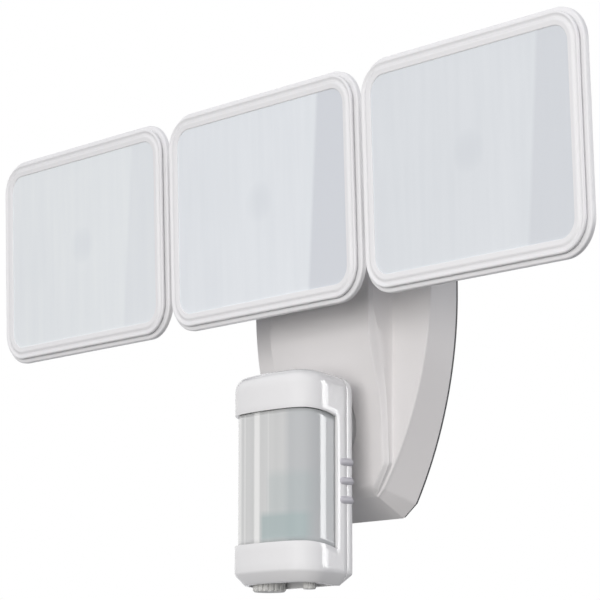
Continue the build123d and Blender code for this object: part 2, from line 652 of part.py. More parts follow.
components = [on_board(TRANSFORMER_X, TRANSFORMER_Z, TRANSFORMER), on_board(RELAY_X, RELAY_Z, RELAY),
              on_board(BRIDGE_X, BRIDGE_Z, BRIDGE), can(CAN_X, CAN_Z, CAN_R, CAN_H),
              can(SMALL_CAN_X, SMALL_CAN_Z, SMALL_CAN_R, SMALL_CAN_H), can(COIL_X, COIL_Z, COIL_R, COIL_H)]
parts["driver_components"] = Compound(children=components)

TERMINAL_X = BOX_HALF - TERMINAL_EDGE - TERMINAL_W / 2
TERMINAL_FACE = -BOX_DEPTH + BOX_WALL + GAP
TERMINAL_FOOT = TERMINAL_TOP - TERMINAL_H
terminal = block(TERMINAL_X - TERMINAL_W / 2, TERMINAL_X + TERMINAL_W / 2, TERMINAL_FACE,
                 TERMINAL_FACE + TERMINAL_D, TERMINAL_FOOT, TERMINAL_TOP)
for i in (-1, 0, 1):
    x, y = TERMINAL_X + i * TERMINAL_PITCH, TERMINAL_FACE + TERMINAL_D / 2
    terminal -= rod((x, y, TERMINAL_FOOT - 1), (x, y, TERMINAL_FOOT + 0.75 * TERMINAL_H), TERMINAL_BORE_R)
parts["terminal_block"] = terminal


def small_screw(x, y, z, length):
    """Pan-head screw driven from the wall side towards the viewer, head on y."""
    return rod((x, y - length, z), (x, y + 0.2, z), SMALL_SCREW_R) + rod(
        (x, y, z), (x, y + SMALL_SCREW_HEAD, z), SMALL_SCREW_HEAD_R)


SOCKET_BACK = SOCKET_FACE + SOCKET_T
small = [small_screw(x, BOARD_BACK, z, BOARD_T + 2.0) for x, z in DRIVER_SCREWS]
small += [small_screw(x, SOCKET_BACK, z, SOCKET_T + 1.4) for x, z in SOCKET_SCREWS]
for x, z in BRACKET_SCREWS:
    screw = rod((x, FOOT_FACE - 0.2, z), (x, -PLATEAU + BOX_WALL, z), SMALL_SCREW_R)
    screw += rod((x, FOOT_FACE - SMALL_SCREW_HEAD, z), (x, FOOT_FACE, z), SMALL_SCREW_HEAD_R)
    small.append(screw)
parts["small_screws"] = Compound(children=small)

# ---------------------------------------------------------------- side arms
BOSS_LOW, BOSS_HIGH = PIN_Z - SWIVEL_BOSS_H / 2, PIN_Z + SWIVEL_BOSS_H / 2
ARM_NUT_X = BOX_HALF - BOX_WALL - ARM_NUT_PLAY
SPIGOT_END = ARM_NUT_X - ARM_NUT_T + ARM_THREAD


def arm():
    x = HEAD_PITCH
    front, rear = ARM_Y - ARM_DEPTH / 2, ARM_Y + ARM_DEPTH / 2
    bar = block(ARM_PAD_X, x, front, rear, PIN_Z - ARM_H / 2, PIN_Z + ARM_H / 2)
    bar = fillet(bar.edges().filter_by(Axis.X), 3.0)
    bar += rod((x, SWIVEL_Y, BOSS_LOW), (x, SWIVEL_Y, BOSS_HIGH), SWIVEL_R)
    bar += rod((SPIGOT_END, ARM_SPIGOT_Y, PIN_Z), (ARM_PAD_X + 1, ARM_SPIGOT_Y, PIN_Z), ARM_SPIGOT_R)
    bar -= rod((SPIGOT_END - 2, ARM_SPIGOT_Y, PIN_Z), (x - 14, ARM_SPIGOT_Y, PIN_Z), ARM_BORE_R)
    bar -= rod((x, SWIVEL_Y, BOSS_LOW - 1), (x, SWIVEL_Y, BOSS_HIGH + 1), SWIVEL_PIN_R + RUN)
    return bar


def arm_nut():
    inner, outer = ARM_NUT_X - ARM_NUT_T, ARM_NUT_X
    nut = hexagon((inner, ARM_SPIGOT_Y, PIN_Z), (outer, ARM_SPIGOT_Y, PIN_Z), ARM_NUT_R)
    return nut - rod((inner - 1, ARM_SPIGOT_Y, PIN_Z), (outer + 1, ARM_SPIGOT_Y, PIN_Z), ARM_SPIGOT_R + RUN)


PLATE_PLAY = 0.2
PLATE_LOW = BOSS_LOW - PLATE_PLAY - SWIVEL_PLATE
PLATE_HIGH = BOSS_HIGH + PLATE_PLAY + SWIVEL_PLATE
WEB_BACK = SWIVEL_Y - SWIVEL_R - 0.4


def swivel_fork():
    x = HEAD_PITCH
    fork = block(x - SWIVEL_R - 1.5, x + SWIVEL_R + 1.5, FOOT_FACE, WEB_BACK, PLATE_LOW, PLATE_HIGH)
    fork += fork_ears(x)
    for low in (PLATE_LOW, BOSS_HIGH + PLATE_PLAY):
        fork += rod((x, SWIVEL_Y, low), (x, SWIVEL_Y, low + SWIVEL_PLATE), SWIVEL_R)
        fork += block(x - SWIVEL_R, x + SWIVEL_R, FOOT_FACE, SWIVEL_Y, low, low + SWIVEL_PLATE)
    fork -= rod((x, SWIVEL_Y, PLATE_LOW - 1), (x, SWIVEL_Y, PLATE_HIGH + 1), SWIVEL_PIN_R + RUN)
    return fork - bolt_hole(x)


def swivel_bolt():
    x = HEAD_PITCH
    shank = rod((x, SWIVEL_Y, PLATE_LOW - NUT_T - 1.0), (x, SWIVEL_Y, PLATE_HIGH + 0.5), SWIVEL_PIN_R)
    top = PLATE_HIGH + SWIVEL_CAP
    cap = rod((x, SWIVEL_Y, PLATE_HIGH), (x, SWIVEL_Y, top), SWIVEL_CAP_R)
    cap -= hexagon((x, SWIVEL_Y, top - SWIVEL_KEY_DEPTH), (x, SWIVEL_Y, top + 1), SWIVEL_KEY_R)
    return shank + cap


def swivel_nut():
    x = HEAD_PITCH
    nut = hexagon((x, SWIVEL_Y, PLATE_LOW - NUT_T), (x, SWIVEL_Y, PLATE_LOW), SWIVEL_NUT_R)
    return nut - rod((x, SWIVEL_Y, PLATE_LOW - NUT_T - 1), (x, SWIVEL_Y, PLATE_LOW + 1), SWIVEL_PIN_R + RUN)


parts["right_arm"] = arm()
parts["left_arm"] = mirrored(arm())
parts["right_swivel_fork"] = swivel_fork()
parts["left_swivel_fork"] = mirrored(swivel_fork())
for name, make in (("arm_nuts", arm_nut), ("swivel_bolts", swivel_bolt), ("swivel_nuts", swivel_nut)):
    parts[name] = Compound(children=[make(), mirrored(make())])


# ---------------------------------------------------------------- sensor swivel
socket = rod((0, SOCKET_FACE, BALL_Z), (0, SOCKET_BACK, BALL_Z), SOCKET_R)
socket -= rod((0, SOCKET_FACE - 1, BALL_Z), (0, SOCKET_BACK + 1, BALL_Z), BALL_R + 0.5)
socket -= rod((0, BALL_Y, BALL_Z - SOCKET_R - 1), (0, BALL_Y, BALL_Z + SOCKET_R + 1), SWIVEL_STUB_R + RUN)
for x, z in SOCKET_SCREWS:
    socket -= rod((x, SOCKET_FACE - 1, z), (x, SOCKET_BACK + 1, z), SMALL_SCREW_R + SCREW_FIT)
parts["sensor_socket"] = socket

STUB_IN, STUB_OUT = 11.0, SOCKET_R - 1.0
parts["swivel_stubs"] = Compound(children=[
    rod((0, BALL_Y, BALL_Z + side * STUB_IN), (0, BALL_Y, BALL_Z + side * STUB_OUT), SWIVEL_STUB_R)
    for side in (-1, 1)])

ball = Pos(0, BALL_Y, BALL_Z) * Sphere(BALL_R)
ball &= block(-WIDE, WIDE, BALL_FACE, BALL_TAIL, -WIDE, WIDE)
ball -= block(-NECK_W / 2 - EAR_PLAY, NECK_W / 2 + EAR_PLAY, BALL_FACE - 1, BALL_Y + BALL_SLOT_BACK,
              BALL_Z - BALL_SLOT_H / 2, BALL_Z + BALL_SLOT_H / 2)
ball -= rod((0, BALL_Y, BALL_Z - BALL_R), (0, BALL_Y, BALL_Z + BALL_R), SWIVEL_STUB_R + RUN)
ball -= rod((-BALL_R, BALL_Y, BALL_Z), (BALL_R, BALL_Y, BALL_Z), TILT_PIN_R + RUN)
parts["sensor_ball"] = ball
parts["sensor_tilt_pin"] = rod((-TILT_PIN_HALF, BALL_Y, BALL_Z), (TILT_PIN_HALF, BALL_Y, BALL_Z), TILT_PIN_R)


# ---------------------------------------------------------------- sensor head
def sensor_outline(inset=0.0):
    """Plan view in X, Y: crowned front with large corners, flat sides and back."""
    half = SENSOR_HALF - inset
    front = SENSOR_FRONT + inset
    back = SENSOR_BACK - inset
    face = make_face([
        ThreePointArc((-half, front + SENSOR_CROWN), (0, front), (half, front + SENSOR_CROWN)),
        Line((half, front + SENSOR_CROWN), (half, back)),
        Line((half, back), (-half, back)),
        Line((-half, back), (-half, front + SENSOR_CROWN)),
    ])
    corners = face.vertices().sort_by(Axis.Y)
    face = fillet(corners[:2], SENSOR_CORNER - inset)
    return fillet(face.vertices().sort_by(Axis.Y)[-2:], SENSOR_BACK_CORNER)


def sensor_prism(inset, low, high):
    return extrude(Pos(0, 0, low) * sensor_outline(inset), high - low)


def side_view(sketch):
    """Extrude a sketch given in Y, Z right across the sensor."""
    return extrude(Plane(origin=(-WIDE, 0, 0), x_dir=(0, 1, 0), z_dir=(1, 0, 0)) * sketch, 2 * WIDE)


def window_opening(clearance=0.0):
    """Front of the case between the window's top and foot, which slope down along its sides."""
    top, foot = WINDOW_TOP - clearance, WINDOW_FOOT + clearance
    edge, front = WINDOW_EDGE - clearance, SENSOR_FRONT - 10
    corners = [(front, top), (WINDOW_BEND, top), (edge, top - WINDOW_DROOP),
               (edge, foot - WINDOW_DROOP), (WINDOW_BEND, foot), (front, foot)]
    return side_view(make_face([Line(a, b) for a, b in zip(corners, corners[1:] + corners[:1])]))


def grip_ribs(front, rear):
    ribs = Part()
    for side in (-1, 1):
        for k in range(GRIP_COUNT):
            x, z = side * (SENSOR_HALF - GRIP_R + GRIP_PROUD), GRIP_TOP - k * GRIP_PITCH
            ribs += rod((x, front, z), (x, rear, z), GRIP_R)
    return ribs


SHELF = SENSOR_BOTTOM + FLOOR_T
SENSOR_SCREWS = [(sx * SENSOR_SCREW_X, z) for sx in (-1, 1)
                 for z in (SENSOR_TOP - SENSOR_SCREW_DOWN, SENSOR_BOTTOM + SENSOR_SCREW_UP)]

case = sensor_prism(0, SENSOR_BOTTOM + CAP_CHAMFER, SENSOR_TOP)
case = fillet(case.faces().sort_by(Axis.Z)[-1].outer_wire().edges(), CAP_ROUND)
case += loft([Pos(0, 0, SENSOR_BOTTOM) * sensor_outline(CAP_CHAMFER),
              Pos(0, 0, SENSOR_BOTTOM + CAP_CHAMFER) * sensor_outline(0)], ruled=True)
ease_y, ease_z = SENSOR_BACK - REAR_EASE_D, SENSOR_TOP - REAR_EASE_H
ease = block(-WIDE, WIDE, ease_y, SENSOR_BACK + 1, ease_z, SENSOR_TOP + 1)
case -= ease - side_view(Pos(ease_y, ease_z) * Ellipse(REAR_EASE_D, REAR_EASE_H))
case -= sensor_prism(SENSOR_WALL, SHELF, SENSOR_TOP - SENSOR_WALL)
case -= sensor_prism(FLOOR_RIM, SENSOR_BOTTOM - 1, SHELF + 1)

front_shell = case & block(-WIDE, WIDE, -WIDE, SENSOR_SPLIT, -WIDE, 0)
front_shell -= window_opening()
front_shell += grip_ribs(WINDOW_EDGE + GRIP_END, SENSOR_SPLIT)
for x, z in SENSOR_SCREWS:
    side = 1 if x > 0 else -1
    x0, x1 = sorted((x - side * BOSS_HALF, side * (SENSOR_HALF - SENSOR_WALL + 0.5)))
    front_shell += block(x0, x1, SENSOR_SPLIT - BOSS_DEPTH, SENSOR_SPLIT, z - BOSS_HALF, z + BOSS_HALF)
    front_shell -= rod((x, SENSOR_SPLIT - BOSS_DEPTH + 0.8, z), (x, SENSOR_SPLIT + 1, z),
                       SENSOR_SCREW_R + SCREW_FIT)
parts["sensor_front_shell"] = front_shell

INNER_BACK = SENSOR_BACK - SENSOR_WALL
BOARD_REAR = SENSOR_BOARD_Y + BOARD_T
BOARD_POSTS = [(sx * 12.0, z) for sx in (-1, 1) for z in (SENSOR_BOARD_TOP - 8.0, SENSOR_BOARD_FOOT + 8.0)]
rear_shell = case & block(-WIDE, WIDE, SENSOR_SPLIT, 0, -WIDE, 0)
rear_shell += grip_ribs(SENSOR_SPLIT, SENSOR_BACK - GRIP_END)
rear_shell += block(-NECK_W / 2, NECK_W / 2, INNER_BACK, BALL_Y, BALL_Z - NECK_H / 2, BALL_Z + NECK_H / 2)
rear_shell += rod((-NECK_W / 2, BALL_Y, BALL_Z), (NECK_W / 2, BALL_Y, BALL_Z), NECK_H / 2)
rear_shell -= rod((-NECK_W, BALL_Y, BALL_Z), (NECK_W, BALL_Y, BALL_Z), TILT_PIN_R + RUN)
for x, z in BOARD_POSTS:
    rear_shell += rod((x, BOARD_REAR, z), (x, INNER_BACK + 0.5, z), 2.0)
for x, z in SENSOR_SCREWS:
    rear_shell += rod((x, SENSOR_SPLIT, z), (x, INNER_BACK + 0.5, z), 2.6)
    rear_shell -= rod((x, SENSOR_SPLIT - 1, z), (x, SENSOR_BACK + 1, z), SENSOR_SCREW_R + SCREW_FIT)
    rear_shell -= rod((x, SENSOR_BACK - SCREW_SINK, z), (x, SENSOR_BACK + 1, z), SMALL_SCREW_HEAD_R + GAP)
parts["sensor_rear_shell"] = rear_shell

window = sensor_prism(WINDOW_INSET, -WIDE, 0) - sensor_prism(WINDOW_INSET + WINDOW_T, -WIDE, 0)
parts["sensor_lens"] = window & window_opening(SEAT)

sensor_screws = []
for x, z in SENSOR_SCREWS:
    seat = SENSOR_BACK - SCREW_SINK
    shank = rod((x, SENSOR_SPLIT - BOSS_DEPTH + 1.2, z), (x, seat + 0.2, z), SENSOR_SCREW_R)
    cap = rod((x, seat, z), (x, SENSOR_BACK - 0.2, z), SMALL_SCREW_HEAD_R)
    sensor_screws.append(shank + cap)
parts["sensor_screws"] = Compound(children=sensor_screws)

# circuit board with the two trimmer blocks that the dials turn
DIALS = {"range_dial": (RANGE_DIAL_X, RANGE_DIAL_R), "time_dial": (TIME_DIAL_X, TIME_DIAL_R)}
TRIMMER_TOP = SENSOR_BOARD_FOOT + TRIMMER_H
sensor_board = block(-SENSOR_BOARD_HALF, SENSOR_BOARD_HALF, SENSOR_BOARD_Y, BOARD_REAR,
                     SENSOR_BOARD_FOOT, SENSOR_BOARD_TOP)
for x, _ in DIALS.values():
    sensor_board += block(x - TRIMMER_HALF, x + TRIMMER_HALF, DIAL_Y - TRIMMER_HALF, SENSOR_BOARD_Y + 0.5,
                          SENSOR_BOARD_FOOT, TRIMMER_TOP)
    sensor_board -= rod((x, DIAL_Y, SENSOR_BOARD_FOOT - 1), (x, DIAL_Y, TRIMMER_TOP + 1), DIAL_SHAFT_R + RUN)
parts["sensor_board"] = sensor_board

pir = rod((0, SENSOR_BOARD_Y - PIR_H, PIR_Z), (0, SENSOR_BOARD_Y, PIR_Z), PIR_R)
pir += rod((0, SENSOR_BOARD_Y - 0.8, PIR_Z), (0, SENSOR_BOARD_Y, PIR_Z), PIR_R + 0.7)
pir -= block(-2.0, 2.0, SENSOR_BOARD_Y - PIR_H - 1, SENSOR_BOARD_Y - PIR_H + 0.5, PIR_Z - 1.5, PIR_Z + 1.5)
parts["pir_element"] = pir

# bottom plate that carries the two dials
PLATE_FACE = SENSOR_BOTTOM + PLATE_SINK
plate = sensor_prism(FLOOR_RIM + SEAT, PLATE_FACE, SHELF)
plate += sensor_prism(SENSOR_WALL + SEAT, SHELF, SHELF + PLATE_FLANGE)
plate -= sensor_prism(FLOOR_RIM + 2.0, PLATE_FACE + PLATE_T, SHELF + PLATE_FLANGE + 1)
for x, _ in DIALS.values():
    plate -= rod((x, DIAL_Y, SENSOR_BOTTOM - 1), (x, DIAL_Y, SHELF), DIAL_SHAFT_R + RUN)
parts["sensor_bottom_plate"] = plate

for name, (x, radius) in DIALS.items():
    low = SENSOR_BOTTOM - DIAL_DROP
    dial = rod((x, DIAL_Y, low), (x, DIAL_Y, PLATE_FACE - GAP), radius)
    dial = chamfer(dial.faces().sort_by(Axis.Z)[0].edges(), 0.25 * radius ** 0.5)
    notches, notch_r = max(8, round(radius * 2.4)), 0.07 * radius + 0.2
    for k in range(notches):
        turn = 2 * math.pi * k / notches
        dx, dy = radius * math.cos(turn), radius * math.sin(turn)
        dial -= rod((x + dx, DIAL_Y + dy, low - 1), (x + dx, DIAL_Y + dy, PLATE_FACE - 1.5), notch_r)
    dial += rod((x, DIAL_Y, PLATE_FACE - 1), (x, DIAL_Y, TRIMMER_TOP - 0.5), DIAL_SHAFT_R)
    dial -= block(x - 0.4, x + 0.4, DIAL_Y - radius + 0.6, DIAL_Y, low - 1, low + 0.6)
    parts[name] = dial


os.makedirs("parts", exist_ok=True)
for name, shape in parts.items():
    export_step(shape, f"parts/{name}.step")
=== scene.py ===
# %% [markdown]
# # A motion sensor security light
#
# Three flat LED heads stand in a row on a shield-shaped wall box, and a motion sensor hangs
# below them on a ball swivel. The moving frame is already built and packed: it says where each
# piece is and how it moves. Here the visible surfaces are made, each as a formula worked out
# with numpy, and each one rides on the body that carries it.

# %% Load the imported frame
import json
import math

import bmesh
import bpy
import numpy as np
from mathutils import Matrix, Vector


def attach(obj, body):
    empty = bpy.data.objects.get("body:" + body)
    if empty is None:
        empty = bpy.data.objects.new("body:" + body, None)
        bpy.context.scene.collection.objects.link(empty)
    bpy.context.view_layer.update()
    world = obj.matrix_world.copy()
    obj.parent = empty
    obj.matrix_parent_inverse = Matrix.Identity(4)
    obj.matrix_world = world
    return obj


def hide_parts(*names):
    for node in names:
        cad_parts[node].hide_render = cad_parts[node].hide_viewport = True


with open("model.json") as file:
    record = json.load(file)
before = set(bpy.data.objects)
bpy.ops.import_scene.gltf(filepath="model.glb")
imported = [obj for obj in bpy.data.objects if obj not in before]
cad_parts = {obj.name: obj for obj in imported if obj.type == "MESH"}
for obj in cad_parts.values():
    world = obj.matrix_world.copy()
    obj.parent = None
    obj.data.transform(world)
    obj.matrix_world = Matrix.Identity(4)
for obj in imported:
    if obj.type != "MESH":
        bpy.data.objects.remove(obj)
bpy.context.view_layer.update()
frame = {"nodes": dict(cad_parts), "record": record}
nodes = frame["nodes"]
MM = 0.001
SIDES = ("left", "centre", "right")

# %% [markdown]
# ## The camera
#
# The light was photographed from its right and from below, with a long lens. A long lens from
# over a metre away keeps the heads nearly parallel, as they look in a catalogue picture.

# %% Camera
AZIMUTH, RISE = math.radians(49.12), math.radians(9.85)
forward = Vector((-math.sin(AZIMUTH) * math.cos(RISE), math.cos(AZIMUTH) * math.cos(RISE), math.sin(RISE)))
camera_data = bpy.data.cameras.new("camera")
camera_data.sensor_width = 36.0
camera_data.lens = 159.0
camera_data.clip_start = 0.05
camera = bpy.data.objects.new("camera", camera_data)
camera.location = (0.9078, -0.8267, -0.2250)
camera.rotation_mode = "QUATERNION"
camera.rotation_quaternion = forward.to_track_quat("-Z", "Y")
bpy.context.scene.collection.objects.link(camera)
bpy.context.scene.camera = camera
print("camera", tuple(round(c, 3) for c in camera.location))

# %% [markdown]
# ## The studio
#
# White goods are lit softly, mostly from the front and at their own height, so that each side
# of the object gets its own shade of grey. The camera, and mirror-like reflections, see plain
# white behind the object: that is done with the Light Path node, and adds no light to the
# object itself. The floor lies far below, pale to the camera and dark to the light, so it
# throws almost none back up. Of the three lamps, the large one gives the soft light, a faint
# bluish one fills the right side, and the narrow one gives only the highlight on rounded edges.

# %% World and lamps
scene = bpy.context.scene
scene.view_settings.view_transform = "Standard"


def white_to_the_eye(tree, colour, strength, eye=1.0):
    """White times eye to the camera, in reflections and through glass; else colour times strength."""
    path = tree.nodes.new("ShaderNodeLightPath")
    either = tree.nodes.new("ShaderNodeMath")
    either.operation = "MAXIMUM"
    tree.links.new(path.outputs["Is Camera Ray"], either.inputs[0])
    tree.links.new(path.outputs["Is Glossy Ray"], either.inputs[1])
    seen = tree.nodes.new("ShaderNodeMath")
    seen.operation = "MAXIMUM"
    tree.links.new(either.outputs[0], seen.inputs[0])
    tree.links.new(path.outputs["Is Transmission Ray"], seen.inputs[1])
    mixed = tree.nodes.new("ShaderNodeMixRGB")
    mixed.inputs["Color1"].default_value = (*[c * strength for c in colour], 1)
    mixed.inputs["Color2"].default_value = (eye, eye, eye, 1)
    tree.links.new(seen.outputs[0], mixed.inputs["Fac"])
    return mixed.outputs["Color"]


WORLD_TINT, WORLD_LEVEL = (0.945, 0.945, 1.0), 0.62
world = bpy.data.worlds.new("studio")
scene.world = world
world.use_nodes = True
background = world.node_tree.nodes["Background"]
world.node_tree.links.new(white_to_the_eye(world.node_tree, WORLD_TINT, WORLD_LEVEL),
                          background.inputs["Color"])


def soft_lamp(name, position, aim, width, height, watts, colour=(1, 1, 1)):
    """A rectangular area lamp at position, turned to face aim."""
    data = bpy.data.lights.new(name, "AREA")
    data.shape, data.size, data.size_y = "RECTANGLE", width, height
    data.energy, data.color = watts, colour
    lamp = bpy.data.objects.new(name, data)
    lamp.location = position
    lamp.rotation_mode = "QUATERNION"
    lamp.rotation_quaternion = (Vector(aim) - Vector(position)).to_track_quat("-Z", "Y")
    scene.collection.objects.link(lamp)
    return lamp


window_light = soft_lamp("front_window", (1.0, -1.98, -0.05), (0, 0, -0.02), 1.8, 1.0, 30, (1.0, 0.98, 0.96))
window_light.visible_glossy = False
soft_lamp("right_fill", (2.2, 0.1, 0.3), (0, 0, -0.05), 1.6, 1.6, 0.3, (0.3, 0.4, 1.0))
strip_light = soft_lamp("edge_strip", (1.9, 1.1, 0.38), (0, 0, -0.05), 0.75, 1.3, 19)
strip_light.visible_diffuse = False
print("lamps", [light.name for light in bpy.data.lights])

# %% Floor
FLOOR_REACH, FLOOR_HEIGHT = 25.0, -3.0
FLOOR_TINT, FLOOR_BOUNCE, FLOOR_SEEN = (0.85, 0.85, 0.84), 0.1, 0.3
corners = FLOOR_REACH * np.array([(-1, -1), (1, -1), (1, 1), (-1, 1)])
floor_mesh = bpy.data.meshes.new("floor")
floor_mesh.from_pydata(np.column_stack([corners, np.full(4, FLOOR_HEIGHT)]).tolist(), [], [(0, 1, 2, 3)])
floor = bpy.data.objects.new("floor", floor_mesh)
scene.collection.objects.link(floor)
floor_paint = bpy.data.materials.new("floor_paint")
floor_paint.use_nodes = True
floor_tree = floor_paint.node_tree
floor_colour = white_to_the_eye(floor_tree, FLOOR_TINT, FLOOR_BOUNCE)
floor_glow = white_to_the_eye(floor_tree, (0, 0, 0), 0.0, FLOOR_SEEN)
floor_shader = floor_tree.nodes["Principled BSDF"]
floor_tree.links.new(floor_colour, floor_shader.inputs["Base Color"])
floor_tree.links.new(floor_glow, floor_shader.inputs["Emission Color"])
floor_shader.inputs["Emission Strength"].default_value = 1.0
floor_shader.inputs["Roughness"].default_value = 0.8
floor_mesh.materials.append(floor_paint)
print("floor at", FLOOR_HEIGHT)

# %% [markdown]
# ## Finishes
#
# Almost every piece of this light is white, so the finishes differ in their fine detail:
# powder coat has a faint orange-peel skin, moulded plastic is smoother with a slow waviness,
# and both carry a little dust that makes them uneven. Each such effect is a node group, built
# once and used with different numbers.


# %% Group helpers
def new_group(name, inputs, outputs):
    """An empty shader node group with float or colour sockets; returns tree, inputs, outputs."""
    group = bpy.data.node_groups.new(name, "ShaderNodeTree")
    for label, kind, value in inputs:
        socket = group.interface.new_socket(label, in_out="INPUT", socket_type=kind)
        socket.default_value = value
    for label, kind in outputs:
        group.interface.new_socket(label, in_out="OUTPUT", socket_type=kind)
    return group, group.nodes.new("NodeGroupInput"), group.nodes.new("NodeGroupOutput")


FLOAT, COLOUR = "NodeSocketFloat", "NodeSocketColor"


def math_node(tree, operation, a, b, clamp=False):
    """One Math node; a and b are numbers or sockets."""
    node = tree.nodes.new("ShaderNodeMath")
    node.operation = operation
    node.use_clamp = clamp
    for socket, value in zip(node.inputs, (a, b)):
        if isinstance(value, (int, float)):
            socket.default_value = value
        else:
            tree.links.new(value, socket)
    return node.outputs[0]


def colour_mix(tree, factor, a, b):
    """Blend of two colours; each input is a colour, a number or a socket."""
    node = tree.nodes.new("ShaderNodeMixRGB")
    for label, value in (("Fac", factor), ("Color1", a), ("Color2", b)):
        if isinstance(value, (int, float)):
            node.inputs[label].default_value = value
        elif isinstance(value, tuple):
            node.inputs[label].default_value = (*value, 1)
        else:
            tree.links.new(value, node.inputs[label])
    return node.outputs["Color"]


def noise(tree, scale, detail=2.0, stretch=None):
    """Noise on the object's own coordinates, in metres; stretch squeezes it along X, Y, Z."""
    place = tree.nodes.new("ShaderNodeTexCoord").outputs["Object"]
    if stretch:
        mapping = tree.nodes.new("ShaderNodeMapping")
        mapping.inputs["Scale"].default_value = stretch
        tree.links.new(place, mapping.inputs["Vector"])
        place = mapping.outputs["Vector"]
    node = tree.nodes.new("ShaderNodeTexNoise")
    node.inputs["Detail"].default_value = detail
    if isinstance(scale, (int, float)):
        node.inputs["Scale"].default_value = scale
    else:
        tree.links.new(scale, node.inputs["Scale"])
    tree.links.new(place, node.inputs["Vector"])
    return node.outputs["Fac"]


# %% [markdown]
# The first group is a skin: a slow cloudiness in the colour, as from dust or uneven coating,
# and a fine relief for the bump. The second gives the fine drawn lines of plated steel.

# %% Skin group
skin, skin_in, skin_out = new_group(
    "skin", [("Colour", COLOUR, (0.9, 0.9, 0.9, 1)), ("Shade", COLOUR, (0.8, 0.8, 0.8, 1)),
             ("Cloud size", FLOAT, 30.0), ("Cloudiness", FLOAT, 0.4), ("Grain size", FLOAT, 900.0),
             ("Roughness", FLOAT, 0.35), ("Roughness spread", FLOAT, 0.1)],
    [("Colour", COLOUR), ("Roughness", FLOAT), ("Height", FLOAT)])
cloud = noise(skin, skin_in.outputs["Cloud size"], 3.0)
grain = noise(skin, skin_in.outputs["Grain size"], 1.0)
veil = math_node(skin, "MULTIPLY", cloud, skin_in.outputs["Cloudiness"], clamp=True)
skin.links.new(colour_mix(skin, veil, skin_in.outputs["Colour"], skin_in.outputs["Shade"]),
               skin_out.inputs["Colour"])
uneven = math_node(skin, "MULTIPLY", math_node(skin, "SUBTRACT", cloud, 0.5),
                   skin_in.outputs["Roughness spread"])
skin.links.new(math_node(skin, "ADD", uneven, skin_in.outputs["Roughness"]), skin_out.inputs["Roughness"])
skin.links.new(grain, skin_out.inputs["Height"])
print("group", skin.name)

# %% Drawn metal group
drawn, drawn_in, drawn_out = new_group(
    "drawn_metal", [("Colour", COLOUR, (0.7, 0.7, 0.7, 1)), ("Dull colour", COLOUR, (0.5, 0.5, 0.5, 1)),
                    ("Roughness", FLOAT, 0.3)],
    [("Colour", COLOUR), ("Roughness", FLOAT), ("Height", FLOAT)])
lines = noise(drawn, 260.0, 2.0, (1, 1, 9))
patches = noise(drawn, 70.0, 2.0)
drawn.links.new(colour_mix(drawn, patches, drawn_in.outputs["Colour"], drawn_in.outputs["Dull colour"]),
                drawn_out.inputs["Colour"])
drawn.links.new(math_node(drawn, "ADD", math_node(drawn, "MULTIPLY", lines, 0.15),
                          drawn_in.outputs["Roughness"]), drawn_out.inputs["Roughness"])
drawn.links.new(lines, drawn_out.inputs["Height"])
print("group", drawn.name)


# %% [markdown]
# A finish is a material: one Principled shader fed by a group. Numbers that are the same all
# over, such as the clear coat, are set on the shader itself.


# %% Finish makers
def finish(name, group, values, bump=0.05, bump_depth=0.0002, **shader):
    """A material with one Principled shader, its colour, roughness and bump from a group."""
    material = bpy.data.materials.new(name)
    material.use_nodes = True
    tree = material.node_tree
    surface = tree.nodes["Principled BSDF"]
    effect = tree.nodes.new("ShaderNodeGroup")
    effect.node_tree = group
    for label, value in values.items():
        effect.inputs[label].default_value = (*value, 1) if isinstance(value, tuple) else value
    tree.links.new(effect.outputs["Colour"], surface.inputs["Base Color"])
    tree.links.new(effect.outputs["Roughness"], surface.inputs["Roughness"])
    relief = tree.nodes.new("ShaderNodeBump")
    relief.inputs["Strength"].default_value = bump
    relief.inputs["Distance"].default_value = bump_depth
    tree.links.new(effect.outputs["Height"], relief.inputs["Height"])
    tree.links.new(relief.outputs["Normal"], surface.inputs["Normal"])
    for label, value in shader.items():
        surface.inputs[label.replace("_", " ")].default_value = value
    return material


powder_white = finish("powder_coat_white", skin, {
    "Colour": (0.87, 0.87, 0.875), "Shade": (0.80, 0.80, 0.81), "Cloud size": 14.0,
    "Grain size": 1600.0, "Roughness": 0.32}, bump=0.10, Coat_Weight=0.25, Coat_Roughness=0.2)
# The wall box gets a darker copy of the white powder coat: painted shade for the light that the heads and the
# sensor keep off it.
box_white_shaded = finish("box_coat_white_shaded", skin, {
    "Colour": (0.82, 0.805, 0.80), "Shade": (0.77, 0.755, 0.75), "Cloud size": 11.0,
    "Grain size": 1600.0, "Roughness": 0.42}, bump=0.10, Specular_IOR_Level=0.4)
# The grip ribs get a grey copy of the white plastic: painted shade for the dark notches between them.
grip_shaded = finish("grip_plastic_shaded", skin, {
    "Colour": (0.60, 0.59, 0.63), "Shade": (0.52, 0.51, 0.55), "Cloud size": 60.0,
    "Grain size": 1200.0, "Roughness": 0.4}, bump=0.08)
moulded_white = finish("moulded_white", skin, {
    "Colour": (0.86, 0.86, 0.86), "Shade": (0.80, 0.80, 0.80), "Cloud size": 20.0,
    "Grain size": 500.0, "Roughness": 0.16}, bump=0.03, Coat_Weight=0.5, Coat_Roughness=0.05)
dial_pale = finish("dial_pale", skin, {
    "Colour": (0.72, 0.72, 0.70), "Shade": (0.62, 0.62, 0.60), "Cloud size": 120.0,
    "Grain size": 2200.0, "Roughness": 0.45}, bump=0.12)
reflector_white = finish("reflector_white", skin, {
    "Colour": (0.90, 0.90, 0.90), "Shade": (0.84, 0.84, 0.84), "Cloud size": 60.0,
    "Grain size": 1800.0, "Roughness": 0.4})
rubber_grey = finish("rubber_grey", skin, {
    "Colour": (0.16, 0.16, 0.165), "Shade": (0.09, 0.09, 0.095), "Cloud size": 90.0,
    "Grain size": 2600.0, "Roughness": 0.75}, bump=0.3)
